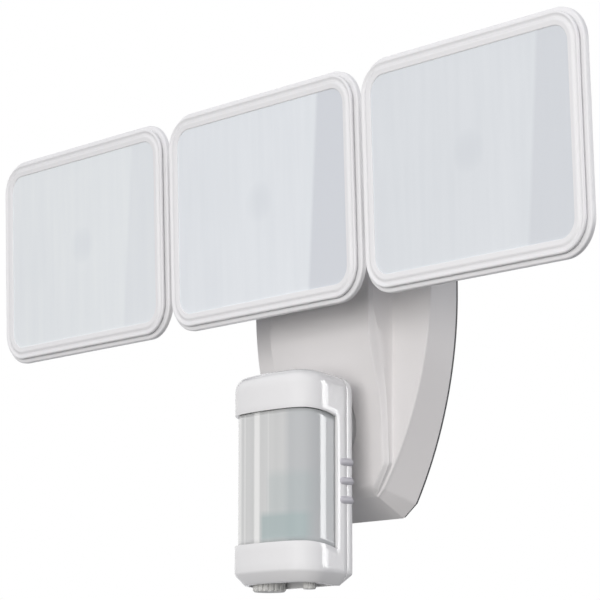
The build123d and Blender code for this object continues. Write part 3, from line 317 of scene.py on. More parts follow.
board_white = finish("board_white", skin, {
    "Colour": (0.82, 0.83, 0.82), "Shade": (0.72, 0.74, 0.73), "Cloud size": 200.0,
    "Grain size": 3000.0, "Roughness": 0.35})
board_green = finish("board_green", skin, {
    "Colour": (0.05, 0.22, 0.10), "Shade": (0.02, 0.12, 0.05), "Cloud size": 300.0,
    "Grain size": 2500.0, "Roughness": 0.35}, bump=0.2)
phosphor = finish("phosphor_yellow", skin, {
    "Colour": (0.90, 0.78, 0.28), "Shade": (0.85, 0.66, 0.18), "Cloud size": 500.0,
    "Grain size": 4000.0, "Roughness": 0.3})
component_black = finish("component_black", skin, {
    "Colour": (0.035, 0.035, 0.04), "Shade": (0.02, 0.02, 0.022), "Cloud size": 300.0,
    "Grain size": 3500.0, "Roughness": 0.5}, bump=0.25)
terminal_cream = finish("terminal_cream", skin, {
    "Colour": (0.75, 0.72, 0.60), "Shade": (0.66, 0.62, 0.50), "Cloud size": 150.0,
    "Grain size": 2500.0, "Roughness": 0.4})
zinc = finish("zinc_plated", drawn, {
    "Colour": (0.72, 0.72, 0.74), "Dull colour": (0.52, 0.52, 0.55), "Roughness": 0.28},
    bump=0.06, Metallic=1.0)
green_plated = finish("green_plated", drawn, {
    "Colour": (0.10, 0.36, 0.14), "Dull colour": (0.05, 0.22, 0.08), "Roughness": 0.35},
    bump=0.06, Metallic=0.6)
print("finishes", len(bpy.data.materials))

# %% [markdown]
# ## The heads' covers
#
# Each head is closed by a frosted sheet. It scatters light, so it looks like pale bluish
# paper, with faint vertical drawing lines. Towards its right edge a band is painted a little
# darker, with a slightly slanted border: a painted reflection. In the middle a painted shadow
# of the board shows as a hardly visible cloud.


# %% Helpers for marks on a cover
def place_axes(tree):
    """The object's own X and Z as two sockets, in metres."""
    split = tree.nodes.new("ShaderNodeSeparateXYZ")
    tree.links.new(tree.nodes.new("ShaderNodeTexCoord").outputs["Object"], split.inputs[0])
    return split.outputs["X"], split.outputs["Z"]


def step_mask(tree, value, edge, width):
    """0 below edge, 1 above it, with an even ramp of width across it."""
    rising = math_node(tree, "SUBTRACT", value, edge - width / 2)
    return math_node(tree, "DIVIDE", rising, width, clamp=True)


def band_mask(tree, value, low, high, width):
    """1 between low and high, fading over width at both."""
    return math_node(tree, "MULTIPLY", step_mask(tree, value, low, width),
                     math_node(tree, "SUBTRACT", 1.0, step_mask(tree, value, high, width)))


print("mask helpers ready")

# %% Frosted cover group
HEAD_PITCH, HEAD_MIDDLE = 136.2, 26.2
PITCH_M, MIDDLE_M = HEAD_PITCH * MM, HEAD_MIDDLE * MM
# The darker band near each head's right edge is a painted reflection; its edge, slant and softness follow.
REFLECTION_EDGE, REFLECTION_SLANT, REFLECTION_SOFT = 0.0375, 0.10, 0.0022
# The last two set the painted shadow of the board: its weight and its radius.
STREAK_WEIGHT, CLOUD_WEIGHT, BOARD_SHADOW_WEIGHT, BOARD_SHADOW_RADIUS = 0.45, 0.35, 0.35, 0.01
frost, frost_in, frost_out = new_group(
    "frost", [("Colour", COLOUR, (0.8, 0.8, 0.8, 1)), ("Shade", COLOUR, (0.7, 0.7, 0.7, 1)),
              ("Band", COLOUR, (0.7, 0.7, 0.7, 1)), ("Band strength", FLOAT, 1.0), ("Roughness", FLOAT, 0.5)],
    [("Colour", COLOUR), ("Roughness", FLOAT), ("Height", FLOAT)])
streaks = noise(frost, 240.0, 2.0, (1, 1, 0.06))
weave = noise(frost, 900.0, 1.0)
clouds = noise(frost, 22.0, 2.0)
frost_x, frost_z = place_axes(frost)
shifted = math_node(frost, "ADD", frost_x, 1.5 * PITCH_M)
across = math_node(frost, "SUBTRACT", math_node(frost, "MODULO", shifted, PITCH_M), PITCH_M / 2)
slanted = math_node(frost, "ADD", across, math_node(frost, "MULTIPLY", frost_z, -REFLECTION_SLANT))
# Painted reflection: a darker band near the right edge, with a slanted border.
reflection_band = step_mask(frost, slanted, REFLECTION_EDGE - REFLECTION_SLANT * MIDDLE_M, REFLECTION_SOFT)
upward = math_node(frost, "SUBTRACT", frost_z, MIDDLE_M)
# Painted shadow of the board: a soft round cloud in the middle of each cover.
squares = [math_node(frost, "POWER", math_node(frost, "MULTIPLY", offset, 1 / BOARD_SHADOW_RADIUS), 2.0)
           for offset in (across, upward)]
board_shadow = math_node(frost, "SUBTRACT", 1.0, math_node(frost, "ADD", *squares), clamp=True)
mottle_and_shadow = math_node(frost, "ADD", math_node(frost, "MULTIPLY", streaks, STREAK_WEIGHT),
                   math_node(frost, "MULTIPLY", clouds, CLOUD_WEIGHT))
# The painted board shadow is added to the cover's own mottle.
mottle_and_shadow = math_node(frost, "ADD", mottle_and_shadow, math_node(frost, "MULTIPLY", board_shadow, BOARD_SHADOW_WEIGHT), clamp=True)
base = colour_mix(frost, mottle_and_shadow, frost_in.outputs["Colour"], frost_in.outputs["Shade"])
strength = math_node(frost, "MULTIPLY", reflection_band, frost_in.outputs["Band strength"], clamp=True)
frost.links.new(colour_mix(frost, strength, base, frost_in.outputs["Band"]), frost_out.inputs["Colour"])
frost.links.new(math_node(frost, "ADD", math_node(frost, "MULTIPLY", weave, 0.1),
                          frost_in.outputs["Roughness"]), frost_out.inputs["Roughness"])
frost.links.new(weave, frost_out.inputs["Height"])
print("group", frost.name)

# %% A cover for each head
# Per head: how much lighter or darker its colours are painted for the light that head gets, then how strong
# its painted reflection band is.
COVER_LIGHT_AND_REFLECTION = {"left": (1.03, 0.3), "centre": (1.0, 1.0), "right": (0.93, 0.6)}
COVER_TINTS = {"Colour": (0.885, 0.92, 0.945), "Shade": (0.745, 0.785, 0.82), "Band": (0.70, 0.73, 0.77)}
COVER_LIMIT = 0.95


def cover_finish(side):
    """One head's frosted finish: colours painted lighter or darker for its light, and its painted
    reflection's strength.
    """
    level, reflection_strength = COVER_LIGHT_AND_REFLECTION[side]
    values = {label: tuple(min(COVER_LIMIT, level * c) for c in colour)
              for label, colour in COVER_TINTS.items()}
    values.update({"Band strength": reflection_strength, "Roughness": 0.42})
    return finish(f"frosted_cover_lit_{side}", frost, values, bump=0.08, Coat_Weight=0.15, Coat_Roughness=0.3)


covers = {side: cover_finish(side) for side in SIDES}
print("covers", [material.name for material in covers.values()])

# %% [markdown]
# ## The sensor's window
#
# The window is a milky sheet of fine Fresnel lenses. Its colour carries painted light: pale
# vertical bands are painted highlights, the part that turns round the corner to the side is
# painted darker as shade, and low down the circuit board behind shows as a dim bluish block,
# its colour and its shade painted on the sheet. They are masks on the piece's own coordinates.

# %% Sensor window group
# Each painted highlight band: left edge, right edge and softness in metres, then its weight.
HIGHLIGHT_BANDS = ((-0.0225, -0.0165, 0.0015, 0.75), (-0.0262, -0.0245, 0.0015, 0.4),
               (-0.0140, -0.0128, 0.0012, 0.5), (-0.0060, -0.0020, 0.0012, 0.8),
               (0.0035, 0.0044, 0.0008, 0.25))
# Each painted shaded block of the board: left, right, softness, bottom, top and softness in metres, then
# weight.
BOARD_SHADE_BLOCKS = ((0.004, 0.0255, 0.004, -0.1165, -0.0985, 0.005, 0.35),
                (-0.001, 0.0245, 0.003, -0.1285, -0.1165, 0.0035, 0.85))
# Painted shade: the window is darker where it turns round the corner to the side.
SHADED_SIDE_START, SHADED_SIDE_SOFT, SHADED_SIDE_WEIGHT = 0.0150, 0.004, 0.75
smoke, smoke_in, smoke_out = new_group(
    "window_painted_light", [("Colour", COLOUR, (0.64, 0.65, 0.65, 1)), ("Bright", COLOUR, (0.8, 0.8, 0.8, 1)),
                      ("Board shade", COLOUR, (0.5, 0.55, 0.56, 1)), ("Side", COLOUR, (0.5, 0.52, 0.53, 1)),
                      ("Roughness", FLOAT, 0.2)],
    [("Colour", COLOUR), ("Roughness", FLOAT), ("Height", FLOAT)])
smoke_x, smoke_z = place_axes(smoke)
tone = smoke_in.outputs["Colour"]
# Painted highlights: broad pale streaks, then narrow pale bands, lighten the window.
wide_highlights = math_node(smoke, "MULTIPLY", noise(smoke, 160.0, 1.0, (1, 1, 0.01)), 0.35, clamp=True)
tone = colour_mix(smoke, wide_highlights, tone, smoke_in.outputs["Bright"])
for left, right, soft, weight in HIGHLIGHT_BANDS:
    strip = math_node(smoke, "MULTIPLY", band_mask(smoke, smoke_x, left, right, soft), weight)
    tone = colour_mix(smoke, strip, tone, smoke_in.outputs["Bright"])
# Painted shade round the corner to the side.
corner = math_node(smoke, "MULTIPLY", step_mask(smoke, smoke_x, SHADED_SIDE_START, SHADED_SIDE_SOFT), SHADED_SIDE_WEIGHT)
tone = colour_mix(smoke, corner, tone, smoke_in.outputs["Side"])
# The board behind shows as dim blocks: its own bluish colour and the shade inside the case, painted on the
# sheet.
for left, right, soft_x, low, high, soft_z, weight in BOARD_SHADE_BLOCKS:
    block = math_node(smoke, "MULTIPLY", band_mask(smoke, smoke_x, left, right, soft_x),
                      band_mask(smoke, smoke_z, low, high, soft_z))
    tone = colour_mix(smoke, math_node(smoke, "MULTIPLY", block, weight), tone, smoke_in.outputs["Board shade"])
smoke.links.new(tone, smoke_out.inputs["Colour"])
fine_lines = noise(smoke, 1500.0, 1.0, (1, 1, 0.02))
smoke.links.new(math_node(smoke, "ADD", math_node(smoke, "MULTIPLY", fine_lines, 0.08),
                          smoke_in.outputs["Roughness"]), smoke_out.inputs["Roughness"])
smoke.links.new(fine_lines, smoke_out.inputs["Height"])
window_smoke = finish("sensor_window_milky", smoke, {
    "Colour": (0.57, 0.58, 0.575), "Bright": (0.93, 0.935, 0.915), "Board shade": (0.38, 0.47, 0.47),
    "Side": (0.47, 0.49, 0.50), "Roughness": 0.14}, bump=0.02, Coat_Weight=0.8, Coat_Roughness=0.03)
print("window", window_smoke.name)

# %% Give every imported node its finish
FINISH_BY_SLOT = {
    "white_casting": powder_white, "white_plastic": moulded_white,
    "frosted_lens": covers["centre"], "sensor_window": window_smoke, "dial_plastic": dial_pale,
    "reflector_white": reflector_white, "grey_rubber": rubber_grey, "led_board": board_white,
    "led_chip": phosphor, "zinc_steel": zinc, "green_steel": green_plated,
    "circuit_board": board_green, "components": component_black, "terminal_plastic": terminal_cream}
slot_of = {part["node"]: part["material_slot"] for part in frame["record"]["subparts"]}


def dress(piece, material):
    """Puts one material on a piece in place of what it had."""
    piece.data.materials.clear()
    piece.data.materials.append(material)


for node_name, node in nodes.items():
    dress(node, FINISH_BY_SLOT[slot_of[node_name]])
for side in SIDES:
    dress(nodes[f"{side}_head_lens"], covers[side])
print("dressed", len(nodes))

# %% [markdown]
# ## Rings of rounded rectangles
#
# A head is a flat box with rounded corners, so each of its surfaces is a stack of rounded
# rectangles. Two numbers place a point: how far round the ring it is, and how far along the
# stack. A moulded edge is then only a list of sizes and depths.


# %% Rounded rectangle and surface helpers
def rounded_rectangle(half_width, half_height, radius, corner_steps=14, side_steps=8):
    """Points round a rectangle: four quarter circles of radius, joined by straight sides."""
    quarter = np.linspace(0, math.pi / 2, corner_steps)
    points = []
    for turn, sx, sz in ((0, 1, 1), (1, -1, 1), (2, -1, -1), (3, 1, -1)):
        angle = quarter + turn * math.pi / 2
        corner = np.stack([sx * (half_width - radius) + radius * np.cos(angle),
                           sz * (half_height - radius) + radius * np.sin(angle)], axis=1)
        points.append(corner)
    closed = []
    for i in range(4):
        here, after = points[i], points[(i + 1) % 4]
        closed.append(here)
        share = np.linspace(0, 1, side_steps + 2)[1:-1, None]
        closed.append(here[-1] * (1 - share) + after[0] * share)
    return np.concatenate(closed)


def surface(name, grid, close_u=False, close_v=False, keep=None):
    """A mesh from a grid of points (rows v, columns u, xyz in mm); keep masks its faces."""
    rows, columns = grid.shape[:2]
    v = np.arange(rows if close_v else rows - 1)
    u = np.arange(columns if close_u else columns - 1)
    vv, uu = np.meshgrid(v, u, indexing="ij")
    v1, u1 = (vv + 1) % rows, (uu + 1) % columns
    faces = np.stack([vv * columns + uu, vv * columns + u1, v1 * columns + u1, v1 * columns + uu], axis=-1)
    faces = faces.reshape(-1, 4) if keep is None else faces[keep]
    mesh = bpy.data.meshes.new(name)
    mesh.from_pydata((grid.reshape(-1, 3) * MM).tolist(), [], faces.tolist())
    mesh.validate()
    return mesh


def smooth_join(meshes, name, merge=0.00002, angle=40):
    """One object from several meshes: doubles merged, normals outward, smooth below an angle."""
    joined = bmesh.new()
    for mesh in meshes:
        joined.from_mesh(mesh)
        bpy.data.meshes.remove(mesh)
    bmesh.ops.remove_doubles(joined, verts=joined.verts, dist=merge)
    bmesh.ops.dissolve_degenerate(joined, edges=joined.edges, dist=merge / 4)
    loose = [vert for vert in joined.verts if not vert.link_faces]
    bmesh.ops.delete(joined, geom=loose, context="VERTS")
    bmesh.ops.recalc_face_normals(joined, faces=joined.faces)
    for face in joined.faces:
        face.smooth = True
    for edge in joined.edges:
        if len(edge.link_faces) == 2 and edge.calc_face_angle(0) > math.radians(angle):
            edge.smooth = False
    mesh = bpy.data.meshes.new(name)
    joined.to_mesh(mesh)
    joined.free()
    piece = bpy.data.objects.new(name, mesh)
    scene.collection.objects.link(piece)
    return piece


def install(piece, material, body, slot, *replaced):
    """Dresses a new piece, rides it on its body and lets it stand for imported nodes."""
    dress(piece, material)
    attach(piece, body)
    if replaced:
        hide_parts(*replaced)
    print(piece.name, "faces", len(piece.data.polygons), "on", body)
    return piece


# %% [markdown]
# The heads face slightly down. Their surfaces are worked out flat, with depth counted back
# from the front plane, then turned about the tilt pin and moved to each head's place.

# %% Place of each head
HEAD_WIDTH, HEAD_HEIGHT, HEAD_CORNER = 130.0, 100.0, 14.0
PIN = np.array([0.0, -31.0, HEAD_MIDDLE])
REACH, DROOP = 35.5, math.radians(1.9)
HEAD_X = {"left": -HEAD_PITCH, "centre": 0.0, "right": HEAD_PITCH}


def to_head(grid, side):
    """Turns points (x, depth, z) by the droop about the pin and moves them to a head."""
    x, y, z = grid[..., 0], grid[..., 1] - REACH, grid[..., 2]
    turned = np.stack([x, y * math.cos(DROOP) - z * math.sin(DROOP),
                       y * math.sin(DROOP) + z * math.cos(DROOP)], axis=-1)
    return turned + PIN + np.array([HEAD_X[side], 0, 0])


def stack(rows):
    """Rings from rows (inset from the front frame's edge, depth), as points x, depth, z."""
    rings = []
    for inset, depth in rows:
        radius = max(HEAD_CORNER - inset, 0.05)
        ring = rounded_rectangle(HEAD_WIDTH / 2 - inset, HEAD_HEIGHT / 2 - inset, radius)
        rings.append(np.stack([ring[:, 0], np.full(len(ring), depth), ring[:, 1]], axis=1))
    return np.stack(rings)


def arc(centre, radius, start, end, steps):
    """Points on a circle in (inset, depth), angles in degrees."""
    angle = np.radians(np.linspace(start, end, steps))
    return [(centre[0] + radius * math.cos(a), centre[1] + radius * math.sin(a)) for a in angle]


# %% [markdown]
# ### Front frame
#
# The frame that holds the cover is a narrow moulding: a round bead outside, a shallow groove,
# then a lip with a low crown that ends in a soft edge over the cover. It is one closed
# profile, carried round the head.

# %% Front frames
BEAD_RADIUS, FLANGE, WEB_BACK, COVER_FACE = 0.75, 1.2, 2.8, 0.8
frame_profile = [(0.0, FLANGE)]
frame_profile += arc((BEAD_RADIUS, BEAD_RADIUS), BEAD_RADIUS, 180, 325, 10)
frame_profile += [(1.7, 0.58)] + arc((2.25, 0.2), 0.45, 120, 60, 4) + [(2.85, 0.46)]
frame_profile += arc((3.9, 1.3), 1.3, 215, 290, 8) + [(5.2, 0.16)]
frame_profile += arc((5.55, 0.65), 0.45, 270, 360, 6)
frame_profile += [(6.0, COVER_FACE), (4.85, COVER_FACE), (4.85, WEB_BACK), (1.2, WEB_BACK), (1.2, FLANGE)]
for side in SIDES:
    ring = smooth_join([surface("front", to_head(stack(frame_profile), side), close_u=True, close_v=True)],
                       f"{side}_front_moulding", angle=50)
    install(ring, powder_white, f"{side}_head", "white_casting", f"{side}_head_front_frame")

# %% [markdown]
# ## The sensor's case
#
# Seen from above, the case is a rounded box with a bowed front. Every level is the same plan,
# drawn in by an inset that changes with height: none along the body, more at the rounded top
# and at the chamfered bottom. The levels bend down along the sides, so that the edges of the
# window can follow them and the window is cut out of the grid cleanly.

# %% The sensor's plan
SENSOR_HALF, SENSOR_FRONT, SENSOR_BACK, SENSOR_SPLIT = 28.0, -64.7, -33.4, -37.5
SENSOR_TOP, SENSOR_BOTTOM = -51.8, -146.8
FRONT_BOW, SIDE_CORNER, REAR_CORNER = 100.0, 14.0, 1.5
CAP_ROUND, CAP_CHAMFER, SEAM, TOP_FALL, FOOT_FALL = 7.0, 4.5, 0.12, 3.4, 1.9
FOOT_LIP, FOOT_RISE, CASE_WALL, FRONT_SOFT, REAR_SOFT = 6.5, 3.0, 1.8, 0.45, 0.3
WINDOW_TOP, WINDOW_FOOT, WINDOW_EDGE, WINDOW_BEND, WINDOW_DROOP = -70.0, -129.4, -43.0, -59.0, 3.3
DROOP_POWER, DROOP_DIP = 1.4, 0.12


def front_plan(inset, rear=SENSOR_SPLIT - SEAM):
    """Half plan of the front, from the middle to the side: a bow, a corner arc, then a straight.

    The bow is a circle of radius FRONT_BOW about a point behind; the corner arc touches both it
    and the side, so its centre lies FRONT_BOW - SIDE_CORNER from the bow's centre.
    """
    centre_y = SENSOR_FRONT + FRONT_BOW
    corner_x = SENSOR_HALF - SIDE_CORNER
    corner_y = centre_y - math.sqrt((FRONT_BOW - SIDE_CORNER) ** 2 - corner_x ** 2)
    meet = math.asin(corner_x / (FRONT_BOW - SIDE_CORNER))
    bow = np.linspace(0, meet, 13)
    turn = np.linspace(meet, math.pi / 2, 15)[1:]
    reach, radius = FRONT_BOW - inset, SIDE_CORNER - inset
    x = np.concatenate([reach * np.sin(bow), corner_x + radius * np.sin(turn)])
    y = np.concatenate([centre_y - reach * np.cos(bow), corner_y - radius * np.cos(turn)])
    side_y = np.concatenate([np.linspace(y[-1], WINDOW_EDGE, 6)[1:], np.linspace(WINDOW_EDGE, rear, 4)[1:]])
    return np.concatenate([x, np.full(len(side_y), SENSOR_HALF - inset)]), np.concatenate([y, side_y])


def both_sides(x, y):
    """A half plan mirrored to the left, from the left side round the front to the right."""
    return np.concatenate([-x[:0:-1], x]), np.concatenate([y[:0:-1], y])


def droop(y):
    """How far the window's edges drop at depth y: a power curve from bend to edge, with a shallow dip."""
    share = np.clip((y - WINDOW_BEND) / (WINDOW_EDGE - WINDOW_BEND), 0, 1)
    return WINDOW_DROOP * share ** DROOP_POWER * (1 - DROOP_DIP * np.sin(math.pi * share))


def case_levels():
    """Rows (inset, height) from the top's rim down to the foot's inner edge."""
    quarter = np.radians(np.linspace(90, 0, 9))
    rows = [(CAP_ROUND * (1 - math.cos(a)), SENSOR_TOP - CAP_ROUND * (1 - math.sin(a))) for a in quarter]
    rows += [(0.0, z) for z in np.linspace(SENSOR_TOP - CAP_ROUND, WINDOW_TOP, 5)[1:]]
    rows += [(0.0, z) for z in np.linspace(WINDOW_TOP, WINDOW_FOOT, 13)[1:]]
    rows += [(0.0, z) for z in np.linspace(WINDOW_FOOT, SENSOR_BOTTOM + CAP_CHAMFER + 0.8, 5)[1:]]
    rows += [(0.15, SENSOR_BOTTOM + CAP_CHAMFER + 0.2), (0.5, SENSOR_BOTTOM + CAP_CHAMFER - 0.4)]
    rows += [(CAP_CHAMFER - 0.5, SENSOR_BOTTOM + 0.6), (CAP_CHAMFER, SENSOR_BOTTOM + 0.15)]
    return rows + [(CAP_CHAMFER + 0.5, SENSOR_BOTTOM), (FOOT_LIP - 0.2, SENSOR_BOTTOM),
                   (FOOT_LIP, SENSOR_BOTTOM + 0.2), (FOOT_LIP, SENSOR_BOTTOM + FOOT_RISE)]


def bent_height(z, y):
    """Lets the levels follow the window's drooping edges; top and foot sink towards the rear."""
    domed = np.clip((z - WINDOW_TOP) / (SENSOR_TOP - WINDOW_TOP), 0, 1)
    rearward = np.clip((y - SENSOR_FRONT) / (SENSOR_BACK - SENSOR_FRONT), 0, 1)
    above = np.clip((SENSOR_TOP - CAP_ROUND - z) / (SENSOR_TOP - CAP_ROUND - WINDOW_TOP), 0, 1)
    below = np.clip((z - SENSOR_BOTTOM - CAP_CHAMFER) / (WINDOW_FOOT - SENSOR_BOTTOM - CAP_CHAMFER), 0, 1)
    footed = np.clip((WINDOW_FOOT - z) / (WINDOW_FOOT - SENSOR_BOTTOM), 0, 1)
    level = z - droop(y) * np.minimum(above, below)
    return level - TOP_FALL * domed * rearward ** 2 - FOOT_FALL * footed * rearward


print("plan points", len(front_plan(0)[0]), "levels", len(case_levels()))

# %% Front shell of the sensor
# Three rows close the lid from its middle outwards. PLAN_ROW is a row of nearly full width, from
# which the columns' places along Y are read.
LID_SHARES, PLAN_ROW = (0.0, 0.35, 0.7), 10
levels = case_levels()
grid_rows = []
for share in LID_SHARES:
    x, y = both_sides(*front_plan(CAP_ROUND))
    y = SENSOR_SPLIT - SEAM + (y - SENSOR_SPLIT + SEAM) * share
    grid_rows.append(np.stack([x * share, y, bent_height(np.full(len(x), SENSOR_TOP), y)], axis=1))
for inset, z in levels:
    x, y = both_sides(*front_plan(inset))
    grid_rows.append(np.stack([x, y, bent_height(np.full(len(x), z), y)], axis=1))
grid = np.stack(grid_rows)
mid_y = (grid[PLAN_ROW, :-1, 1] + grid[PLAN_ROW, 1:, 1]) / 2
level_z = np.array([SENSOR_TOP] * len(LID_SHARES) + [z for _, z in levels])
mid_z = (level_z[:-1] + level_z[1:]) / 2
window_rows = (mid_z < WINDOW_TOP) & (mid_z > WINDOW_FOOT)
outside_window = ~(window_rows[:, None] & (mid_y[None, :] < WINDOW_EDGE))


def thicken(piece, thickness_mm):
    """Gives an open surface a wall, grown inwards from the outer face."""
    wall = piece.modifiers.new("wall", "SOLIDIFY")
    wall.thickness, wall.offset, wall.use_even_offset = thickness_mm * MM, -1.0, True
    return piece


def soften(piece, width_mm, angle=50):
    """Rounds every edge sharper than angle, as a mould does."""
    bevel = piece.modifiers.new("soft edges", "BEVEL")
    bevel.width, bevel.segments = width_mm * MM, 2
    bevel.limit_method, bevel.angle_limit = "ANGLE", math.radians(angle)
    return piece


def facing_out(piece, centre):
    """Turns all normals round if most of them point at the centre (in mm)."""
    mesh = piece.data
    count = len(mesh.polygons)
    normals, middles = np.empty(count * 3), np.empty(count * 3)
    mesh.polygons.foreach_get("normal", normals)
    mesh.polygons.foreach_get("center", middles)
    outward = middles.reshape(-1, 3) - np.array(centre) * MM
    if (normals.reshape(-1, 3) * outward).sum() < 0:
        mesh.flip_normals()
    return piece


SENSOR_MIDDLE = (0.0, -48.0, -99.0)
front_shell = smooth_join([surface("front", grid, keep=outside_window)], "sensor_front_case")
soften(thicken(facing_out(front_shell, SENSOR_MIDDLE), CASE_WALL), FRONT_SOFT)
install(front_shell, moulded_white, "sensor", "white_plastic", "sensor_front_shell")

# %% [markdown]
# The rear shell closes the case. Its top falls away in a quarter ellipse, which leaves room
# for the sensor to tilt back under the wall box's spine. A neck with a round end reaches back
# into the ball.

# %% Rear shell of the sensor
EASE_HEIGHT, EASE_DEPTH = 10.0, 3.9


def rear_plan(inset, z, front=SENSOR_SPLIT + SEAM):
    """Half plan of the rear, from the split to the middle of the back, with a small corner."""
    rise = np.clip((z - SENSOR_TOP + EASE_HEIGHT) / EASE_HEIGHT, 0, 1)
    back = SENSOR_BACK - EASE_DEPTH * (1 - math.sqrt(1 - rise ** 2))
    radius = min(REAR_CORNER, max(back - front, 0.02))
    back_limit = max(back, front + 0.02)
    half, quarter = SENSOR_HALF - inset, np.radians(np.linspace(0, 90, 7))
    side_y = np.linspace(front, back_limit - radius, 4)[:-1]
    back_x = np.linspace(half - radius, 0, 9)[1:]
    x = np.concatenate([np.full(3, half), half - radius + radius * np.cos(quarter), back_x])
    y = np.concatenate([side_y, back_limit - radius + radius * np.sin(quarter), np.full(8, back_limit)])
    return x, y


rear_rows = []
for inset, z in levels:
    depth_inset = min(inset, FOOT_LIP) if z < SENSOR_BOTTOM + CAP_CHAMFER else 0.0
    x, y = rear_plan(inset, z)
    y = np.minimum(y, SENSOR_BACK - depth_inset)
    x, y = np.concatenate([x, -x[-2::-1]]), np.concatenate([y, y[-2::-1]])
    rear_rows.append(np.stack([x, y, bent_height(np.full(len(x), z), np.full(len(x), SENSOR_SPLIT))], axis=1))
rear_shell = smooth_join([surface("rear", np.stack(rear_rows))], "sensor_rear_case")
soften(thicken(facing_out(rear_shell, SENSOR_MIDDLE), CASE_WALL), REAR_SOFT)
BALL = np.array([0.0, -16.0, -74.0])
NECK_HALF, NECK_RADIUS, NECK_EASE, NECK_TIP = 5.0, 6.0, 0.6, 0.001


def neck():
    """A bar of square section along Y whose end is a half round about the ball's middle."""
    turn = np.radians(np.linspace(-90, 90, 17))
    y = np.concatenate([[SENSOR_BACK - 1.0], BALL[1] + NECK_RADIUS * np.cos(turn), [SENSOR_BACK - 1.0]])
    bottom, top = BALL[2] - NECK_RADIUS, BALL[2] + NECK_RADIUS
    z = np.concatenate([[bottom], BALL[2] + NECK_RADIUS * np.sin(turn), [top]])
    rows = []
    for x, shrink in ((-NECK_HALF, NECK_TIP), (-NECK_HALF, 0.9), (-NECK_HALF + NECK_EASE, 1.0),
                      (NECK_HALF - NECK_EASE, 1.0), (NECK_HALF, 0.9), (NECK_HALF, NECK_TIP)):
        rows.append(np.stack([np.full(len(y), x), BALL[1] + (y - BALL[1]) * shrink,
                              BALL[2] + (z - BALL[2]) * shrink], axis=1))
    return np.stack(rows)


install(rear_shell, moulded_white, "sensor", "white_plastic", "sensor_rear_shell")
neck_piece = facing_out(smooth_join([surface("neck", neck(), close_u=True)], "sensor_neck"), tuple(BALL))
install(neck_piece, moulded_white, "sensor", "white_plastic")

# %% [markdown]
# Three short ribs on each side give the fingers a grip when the sensor is turned. Each is a
# round bar along Y whose radius shrinks to nothing at both ends. Their grey finish is painted
# shade, for the dark notches between them.

# %% Grip ribs
GRIP_FIRST, GRIP_PITCH, GRIP_COUNT = -93.5, 8.5, 3
GRIP_FRONT, GRIP_REAR, GRIP_X, GRIP_RADIUS = -41.6, -33.3, 27.0, 2.0


def grip(side, z):
    """Angle round by distance along Y; the radius follows the fourth root of 1 - s^4."""
    turn = np.linspace(0, 2 * math.pi, 25)[:-1]
    s = np.sin(np.linspace(-math.pi / 2, math.pi / 2, 13))
    radius = GRIP_RADIUS * np.maximum(1 - s ** 4, 0) ** 0.25
    y = (GRIP_FRONT + GRIP_REAR) / 2 + (GRIP_REAR - GRIP_FRONT) / 2 * s
    return np.stack([side * (GRIP_X + radius[:, None] * np.cos(turn)), np.repeat(y[:, None], len(turn), 1),
                     z + radius[:, None] * np.sin(turn)], axis=-1)


ribs = [surface("rib", grip(side, GRIP_FIRST - k * GRIP_PITCH), close_u=True)
        for side in (-1, 1) for k in range(GRIP_COUNT)]
# The ribs are white plastic; their grey finish is painted shade.
install(smooth_join(ribs, "sensor_grips"), grip_shaded, "sensor", "white_plastic")

# %% [markdown]
# ### The sensor's window
#
# The window is a thin bent sheet that lies a little inside the caps. It uses the same plan as
# the case, with its own inset, and its edges droop by the same curve.

# %% Sensor window
WINDOW_INSET, WINDOW_WALL, WINDOW_GAP = 1.5, 1.2, 0.15
x, y = front_plan(WINDOW_INSET)
inside = y <= WINDOW_EDGE + 1e-6
y = np.where(np.isclose(y, WINDOW_EDGE), WINDOW_EDGE - WINDOW_GAP, y)
x, y = both_sides(x[inside], y[inside])
heights = np.linspace(WINDOW_TOP - WINDOW_GAP, WINDOW_FOOT + WINDOW_GAP, 25)
sheet = np.stack([np.stack([x, y, z - droop(y)], axis=1) for z in heights])
window = smooth_join([surface("window", sheet)], "sensor_window_sheet")
thicken(facing_out(window, SENSOR_MIDDLE), WINDOW_WALL)
install(window, window_smoke, "sensor", "sensor_window", "sensor_lens")

# %% [markdown]
# ## The wall box
#
# The cover is a shield with a raised spine. Its front is a height field: rows across, each with
# the same columns, so the spine's bevel, its foot fillet and the box's rounded edge stay on
# their own columns all the way down. The side wall joins the border of that field to the
# larger outline at the wall. The inside repeats the outside, one wall further in.

# %% Outline of the box
REAR = {"half": 62.4, "top": 54.0, "corner": 22.0, "start": -15.0, "side": 179.0, "foot": -110.5,
        "bottom_half": 26.5, "bottom": -116.5}
FRONT = {"half": 61.3, "top": 52.5, "corner": 22.0, "start": -10.0, "side": 156.0, "foot": -104.5,
         "bottom_half": 25.5, "bottom": -108.0}
BOX_DEPTH, BOX_REAR, BOX_WALL = 16.5, 1.5, 2.5


def half_width(z, outline):
    """Half the box's width at height z: corner circle, straight flank, long arc, then a cut."""
    o = outline
    flank = np.full_like(z, o["half"])
    rise = np.clip(z - (o["top"] - o["corner"]), 0, o["corner"])
    flank = np.where(rise > 0, o["half"] - o["corner"] + np.sqrt(o["corner"] ** 2 - rise ** 2), flank)
    fall = np.clip(o["start"] - z, 0, o["start"] - o["foot"])
    flank = np.where(fall > 0, o["half"] - o["side"] + np.sqrt(o["side"] ** 2 - fall ** 2), flank)
    knee = o["half"] - o["side"] + math.sqrt(o["side"] ** 2 - (o["start"] - o["foot"]) ** 2)
    cut = np.clip((o["foot"] - z) / (o["foot"] - o["bottom"]), 0, 1)
    return np.where(cut > 0, knee + (o["bottom_half"] - knee) * cut, flank)


